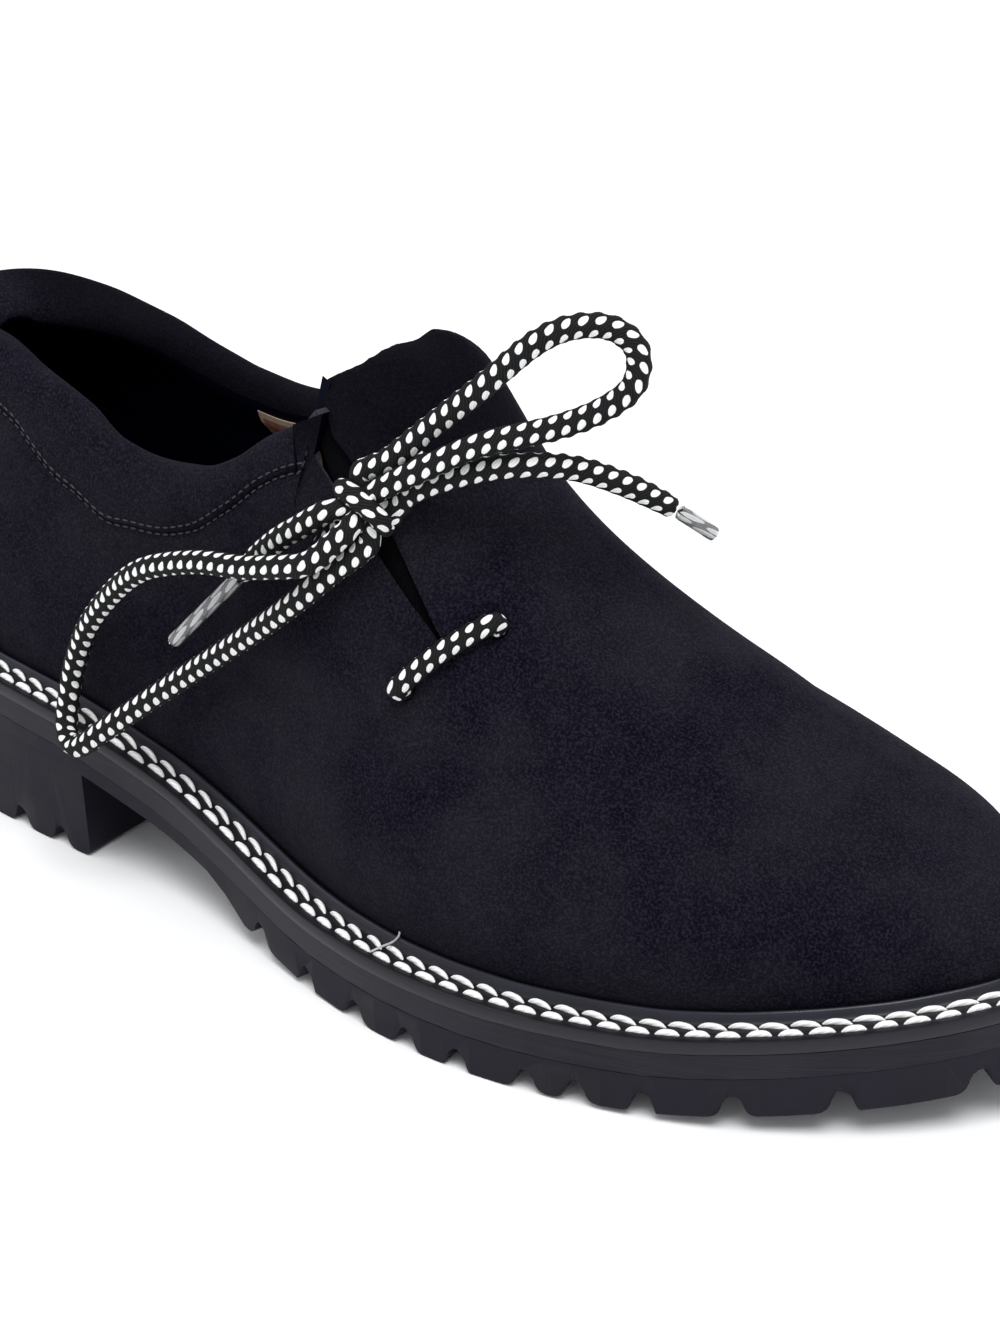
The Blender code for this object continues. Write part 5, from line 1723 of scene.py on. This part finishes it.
@dataclass
class Sole:
    """Midsole, lugged outsole and heel, with the rounded edges of a moulding."""

    tread_rounding: float = 1.9
    flush: float = 0.6
    closing: float = 0.18
    side_reach: float = 3.0
    least_edge: float = 3.0

    def moulded(self, node: str, name: str, slot: Slot, material: Material) -> None:
        """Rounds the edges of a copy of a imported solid, and sets it in the solid's place."""
        piece = linked(name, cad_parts[node].data.copy())
        piece.data.name = name
        tidy_mesh(piece, merge=0.00015, turn_out=False)
        only(piece)
        bpy.ops.object.mode_set(mode="EDIT")
        bpy.ops.mesh.select_all(action="SELECT")
        bpy.ops.mesh.dissolve_limited(angle_limit=math.radians(0.6))
        bpy.ops.object.mode_set(mode="OBJECT")
        if slot is Slot.MIDSOLE:
            self.widen(piece)
        self.weigh(piece)
        tread = piece.modifiers.new("tread_rounding", "BEVEL")
        tread.limit_method = "WEIGHT"
        tread.width = self.tread_rounding * MM
        tread.segments = 3
        tread.use_clamp_overlap = False
        apply_modifiers(piece)
        dress(piece, material)
        smooth(piece, 40.0)
        even = piece.modifiers.new("even_shading", "WEIGHTED_NORMAL")
        even.keep_sharp = True
        apply_modifiers(piece)
        settle(piece, slot, node)

    def widen(self, piece: Piece) -> None:
        """Brings a layer's side out flush with the layers above and below it."""
        edge = sole_outline(360)
        way = inward_of(edge)
        points = np.zeros(len(piece.data.vertices) * 3, np.float32)
        piece.data.vertices.foreach_get("co", points)
        points = points.reshape(-1, 3)
        places = points[:, :2] / MM + MIDDLE[:2]
        away = np.linalg.norm(places[:, None] - edge[None], axis=2)
        near = away.argmin(axis=1)
        moved = np.where(away.min(axis=1) < self.side_reach, self.flush * MM, 0.0)
        points[:, :2] -= way[near] * moved[:, None]
        slope = np.array([vertex.normal.z for vertex in piece.data.vertices])
        points[:, 2] += np.sign(slope) * self.closing * MM
        piece.data.vertices.foreach_set("co", points.ravel())

    def weigh(self, piece: Piece) -> None:
        """Marks the edges across each lug's ends at the sole's side, which are moulded round."""
        mesh = piece.data
        down: dict[tuple[int, int], list[float]] = {}
        for face in mesh.polygons:
            for pair in face.edge_keys:
                down.setdefault(pair, []).append(face.normal.z)
        weights = mesh.attributes.new("bevel_weight_edge", "FLOAT", "EDGE")
        outline = sole_outline(720)
        way = inward_of(outline)
        for edge in mesh.edges:
            slopes = sorted(down.get(edge.key, [0.0]))
            start, end = (np.array(mesh.vertices[k].co)[:2] / MM + MIDDLE[:2] for k in edge.vertices)
            far = [np.linalg.norm(outline - place, axis=1) for place in (start, end)]
            outer = min(far[0].min(), far[1].min())
            across = abs(unit(end - start) @ way[far[0].argmin()]) if np.any(end != start) else 0.0
            seen = outer < self.side_reach and np.linalg.norm(end - start) > self.least_edge
            tread = slopes[0] < -0.8 and abs(slopes[-1]) < 0.6
            weights.data[edge.index].value = float(seen and tread and across > 0.6)

    def build(self) -> None:
        """Builds the three layers."""
        rubber = Rubber("black_rubber").material()
        self.moulded("outsole", "lugged_outsole", Slot.RUBBER, rubber)
        self.moulded("heel", "heel_block", Slot.RUBBER, rubber)
        self.moulded("midsole", "sanded_midsole", Slot.MIDSOLE, SandedEdge("sanded_edge").material())


# The lace's route, given point by point, with the knot over KNOT_HOME
KNOT_HOME = (166.3, -25.1, 103.7)
LOOP_LEFT = (
    (170.5, -35.0, 100.6), (168.7, -37.1, 98.2), (164.1, -40.4, 93.6), (156.4, -41.4, 91.1),
    (146.8, -41.4, 88.5), (136.5, -41.0, 86.6), (126.5, -40.5, 83.5), (116.9, -40.0, 79.2),
    (107.1, -39.0, 71.5), (97.2, -38.5, 60.4), (91.9, -39.0, 49.8), (90.5, -41.0, 40.6),
    (92.1, -43.6, 35.7), (96.2, -45.4, 34.2), (100.7, -45.6, 36.7), (105.3, -44.8, 40.6),
    (116.1, -42.0, 49.4), (128.4, -39.5, 59.2), (144.5, -38.5, 71.7), (159.1, -38.5, 83.7),
    (166.3, -36.0, 90.7), (172.5, -32.1, 96.7),
)
LOOP_RIGHT = (
    (169.3, -29.3, 109.7), (173.9, -26.7, 112.4), (180.8, -21.4, 119.2), (189.1, -16.5, 127.1),
    (196.8, -9.8, 135.3), (201.9, -4.5, 138.0), (207.3, 0.3, 137.4), (211.8, 2.0, 133.5),
    (212.9, -0.7, 127.6), (208.9, -5.3, 123.3), (202.1, -11.3, 120.2), (191.6, -20.2, 117.5),
    (184.1, -25.7, 113.6), (178.9, -28.4, 110.6), (173.7, -30.6, 107.2),
)
END_LEFT = (
    (165.6, -34.4, 102.8), (162.7, -35.3, 101.2), (158.3, -35.9, 98.1), (153.0, -35.9, 94.4),
    (146.6, -35.0, 89.1), (142.2, -34.6, 84.7), (139.4, -34.6, 81.8),
)
END_RIGHT = (
    (175.7, -27.7, 103.4), (177.4, -25.6, 105.7), (181.5, -23.1, 108.2), (189.7, -18.2, 111.2),
    (197.6, -13.3, 112.3), (203.8, -6.5, 110.5), (209.9, 0.2, 106.3), (214.6, 5.3, 102.0),
    (216.5, 7.2, 100.1),
)
AGLET_LEFT = ((139.1, -34.6, 81.5), (122.4, -38.6, 63.8))
AGLET_RIGHT = ((216.8, 7.5, 99.8), (221.3, 13.5, 93.6))
KNOT_PLACE = (0.5435, 0.369)
KNOT_CENTRE = (-0.9, 4.2, 5.7)


class FarEnd(Enum):
    """What a stretch of the lace ends in."""

    SHOE = "object"
    TIP = "fitting"


@dataclass
class Lace:
    """The round dotted lace: its crossing over the slit, its bow and its clear tips."""

    upper: Upper
    diameter: float = 4.8
    crossing_diameter: float = 4.2
    around: int = 28
    spacing: float = 0.5
    braid_bumps: float = 0.08
    pinch: float = 0.12
    tuck: float = 0.75
    turn_diameter: float = 5.4
    half_knot_diameter: float = 4.4
    tip_diameter: float = 3.0
    tip_core: float = 2.0
    pitch: float = 3.05
    dot_rows: int = 5
    braid: Material | None = None
    drawn: Material | None = None
    film: Material | None = None

    def knot_frame(self) -> tuple[Array, Array]:
        """The knot's place on the upper, and its directions across the slit, down it and out."""
        last = self.upper.last
        x, girth = KNOT_PLACE[0] * LENGTH, KNOT_PLACE[1]
        middle, out = last.at(x, girth), last.outward(x, girth)
        quarter, _, vamp, _ = (last.at(along * LENGTH, share) for along, share in self.upper.holes)
        across = vamp - quarter
        across = unit(across - out * (across @ out))
        return middle, np.array([across, np.cross(across, out), out])

    def girth_of(self, diameter: float) -> Callable[[Array, Array], Array]:
        """The lace's radius, with the low bumps of its braid."""
        def radius(along: Array, share: Array) -> Array:
            """The radius for lengths along and shares of the turn."""
            ring, step = share * self.dot_rows, along / self.pitch
            rises = (0.6, 0.8), (-0.4, 0.3)
            dots = sum(np.cos(2 * np.pi * (step + rise * ring - start)) for rise, start in rises)
            pinch = 1 - self.pinch * np.exp(-((np.minimum(along, along.max() - along) / 6.0) ** 2))
            return diameter / 2 * pinch * (1 - self.braid_bumps * 0.5 * dots)
        return radius

    def strand(self, name: str, path: Array, diameter: float, first_up: Array, ends: float) -> Piece:
        """Builds one stretch of the lace."""
        piece = tube(name, path, self.girth_of(diameter), self.around, first_up, round_ends=ends)
        dress(piece, self.braid)
        smooth(piece, 80.0)
        return piece

    def crossing(self) -> None:
        """The bar over the slit, its turns through the holes and its two ends up to the knot."""
        last = self.upper.last
        inside, over = -WALL - 0.6 - self.diameter / 2, self.crossing_diameter / 2 - 0.3
        quarter_upper, quarter_lower, vamp_upper, vamp_lower = (np.array(hole) for hole in self.upper.holes)
        middle, axes = self.knot_frame()

        def step(start: Array, end: Array, share: float, lift: float) -> Array:
            """A place between two holes, lifted off the last."""
            place = start * (1 - share) + end * share
            return last.lifted(place[0] * LENGTH, place[1], lift)

        def through(start: Array, end: Array, outward: bool) -> list[Array]:
            """The lace's turn into a hole from the side of another, or out of it to that side."""
            lifts = (0.11, over + 0.3), (-0.01, 0.7), (0.0, -WALL - 1.0)
            turn = [step(start, end, share, lift) for share, lift in lifts]
            return turn[::-1] if outward else turn

        route = [middle + np.array(KNOT_CENTRE) @ axes, middle + np.array((-5.2, 1.8, 2.7)) @ axes]
        route += through(quarter_upper, vamp_upper, False)
        route += [step(quarter_upper, quarter_lower, share, inside) for share in (0.15, 0.50, 0.85)]
        route += through(quarter_lower, vamp_lower, True)
        route.append(step(quarter_lower, vamp_lower, 0.50, over))
        route += through(vamp_lower, quarter_lower, False)
        route += [step(vamp_lower, vamp_upper, share, inside) for share in (0.15, 0.50, 0.85)]
        route += through(vamp_upper, quarter_upper, True)
        route += [middle + np.array((3.4, 2.0, 2.7)) @ axes, middle + np.array(KNOT_CENTRE) @ axes]
        path = open_curve(route, self.spacing)
        piece = self.strand("lace_crossing", path, self.crossing_diameter, axes[2], 1.2)
        settle(piece, Slot.LACE, "lace_bars")

    def knot(self) -> list[Piece]:
        """The knot: a flattened turn of the lace round the strands, and the half knot under it."""
        middle, axes = self.knot_frame()
        centre = np.array(KNOT_CENTRE)
        turn = np.linspace(0, 2 * np.pi, 60)
        along = 1.3 * np.sin(turn) + 0.9 * np.cos(turn)
        wrap = np.stack([along, 5.0 * np.cos(turn), 3.6 * np.sin(turn)], axis=1)
        path = even_steps(middle + (centre + wrap) @ axes, self.spacing)
        wide = self.girth_of(self.turn_diameter)
        pieces = [tube("lace_knot_turn", path, wide, self.around, axes[2], flat=0.8, round_ends=0.8)]
        low = centre + np.array([(-5.2, -1.5, -2.6), (-2.4, 1.4, -1.6), (1.2, 3.6, -1.2), (4.6, 5.4, -2.4)])
        path = open_curve(middle + low @ axes, self.spacing)
        narrow = self.girth_of(self.half_knot_diameter)
        pieces.append(tube("lace_half_knot", path, narrow, self.around, axes[2], round_ends=1.6))
        for piece in pieces:
            dress(piece, self.braid)
            smooth(piece, 80.0)
        settle(pieces[0], Slot.LACE, "lace_knot")
        settle(pieces[1], Slot.LACE)
        return pieces

    def tip(self, name: str, route: Array, node: str) -> list[Piece]:
        """A clear tip over the drawn-in end of the lace."""
        core_route = route + (route[0] - route[1]) * ((0.02,), (-0.03,))
        parts = (
            (name, route, self.tip_diameter, 20, self.film, Slot.AGLET, (node,)),
            (name + "_core", core_route, self.tip_core, 16, self.drawn, Slot.LACE, ()),
        )
        pieces = []
        for title, line, diameter, around, material, slot, stands_for in parts:
            path = even_steps(line, self.spacing)
            piece = tube(title, path, even_radius(diameter / 2), around, round_ends=0.7)
            dress(piece, material)
            smooth(piece, 60.0)
            pieces.append(settle(piece, slot, *stands_for))
        return pieces

    def free(
        self, name: str, node: str, route: Array, far_end: FarEnd, first_up: Array, with_pieces: list[Piece]
    ) -> None:
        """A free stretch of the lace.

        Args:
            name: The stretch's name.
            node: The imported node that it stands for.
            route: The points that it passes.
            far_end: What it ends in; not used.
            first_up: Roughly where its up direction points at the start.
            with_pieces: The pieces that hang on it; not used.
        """
        path = open_curve(route, self.spacing)
        piece = self.strand(name, path, self.diameter, first_up, 1.4)
        settle(piece, Slot.LACE, node)

    def build(self) -> None:
        """Builds the whole lace."""
        self.braid = DottedBraid("dotted_braid").material()
        self.film = ClearPlastic("clear_film").material()
        drawn = DottedBraid("drawn_braid", pitch=6.5, girth=6.3, dot_length=6.0, dot_width=0.9, slant=6.0)
        self.drawn = drawn.material()
        middle, axes = self.knot_frame()
        shift, out = middle - KNOT_HOME, axes[2]
        core = middle + np.array(KNOT_CENTRE) @ axes

        def tied(route: Array, both: bool) -> Array:
            """A route with its start, or both its ends, run on into the knot."""
            route = [route[0] + (core - route[0]) * self.tuck, *route]
            return np.array([*route, route[-1] + (core - route[-1]) * self.tuck] if both else route)

        self.crossing()
        knot = self.knot()
        left_tip = self.tip("clear_tip_left", np.array(AGLET_LEFT) + shift, "aglet_left")
        right_tip = self.tip("clear_tip_right", np.array(AGLET_RIGHT) + shift, "aglet_right")
        stretches = (
            ("lace_bow_left", "lace_loop_left", LOOP_LEFT, FarEnd.SHOE, knot),
            ("lace_bow_right", "lace_loop_right", LOOP_RIGHT, FarEnd.SHOE, []),
            ("lace_tail_left", "lace_end_left", END_LEFT, FarEnd.TIP, left_tip),
            ("lace_tail_right", "lace_end_right", END_RIGHT, FarEnd.TIP, right_tip),
        )
        for name, node, route, far_end, pieces in stretches:
            self.free(name, node, tied(route + shift, far_end is FarEnd.SHOE), far_end, out, pieces)


def main() -> None:
    """Builds the studio and the shoe."""
    logging.basicConfig(level=logging.INFO, format="%(name)s %(message)s")
    studio = Studio()
    studio.camera()
    last = Last()
    upper = Upper(last)
    Lace(upper).build()
    upper.build()
    Collar(upper).build()
    Welt().build()
    Sole().build()
    studio.floor()
    studio.lights()


if __name__ == "__main__":
    main()
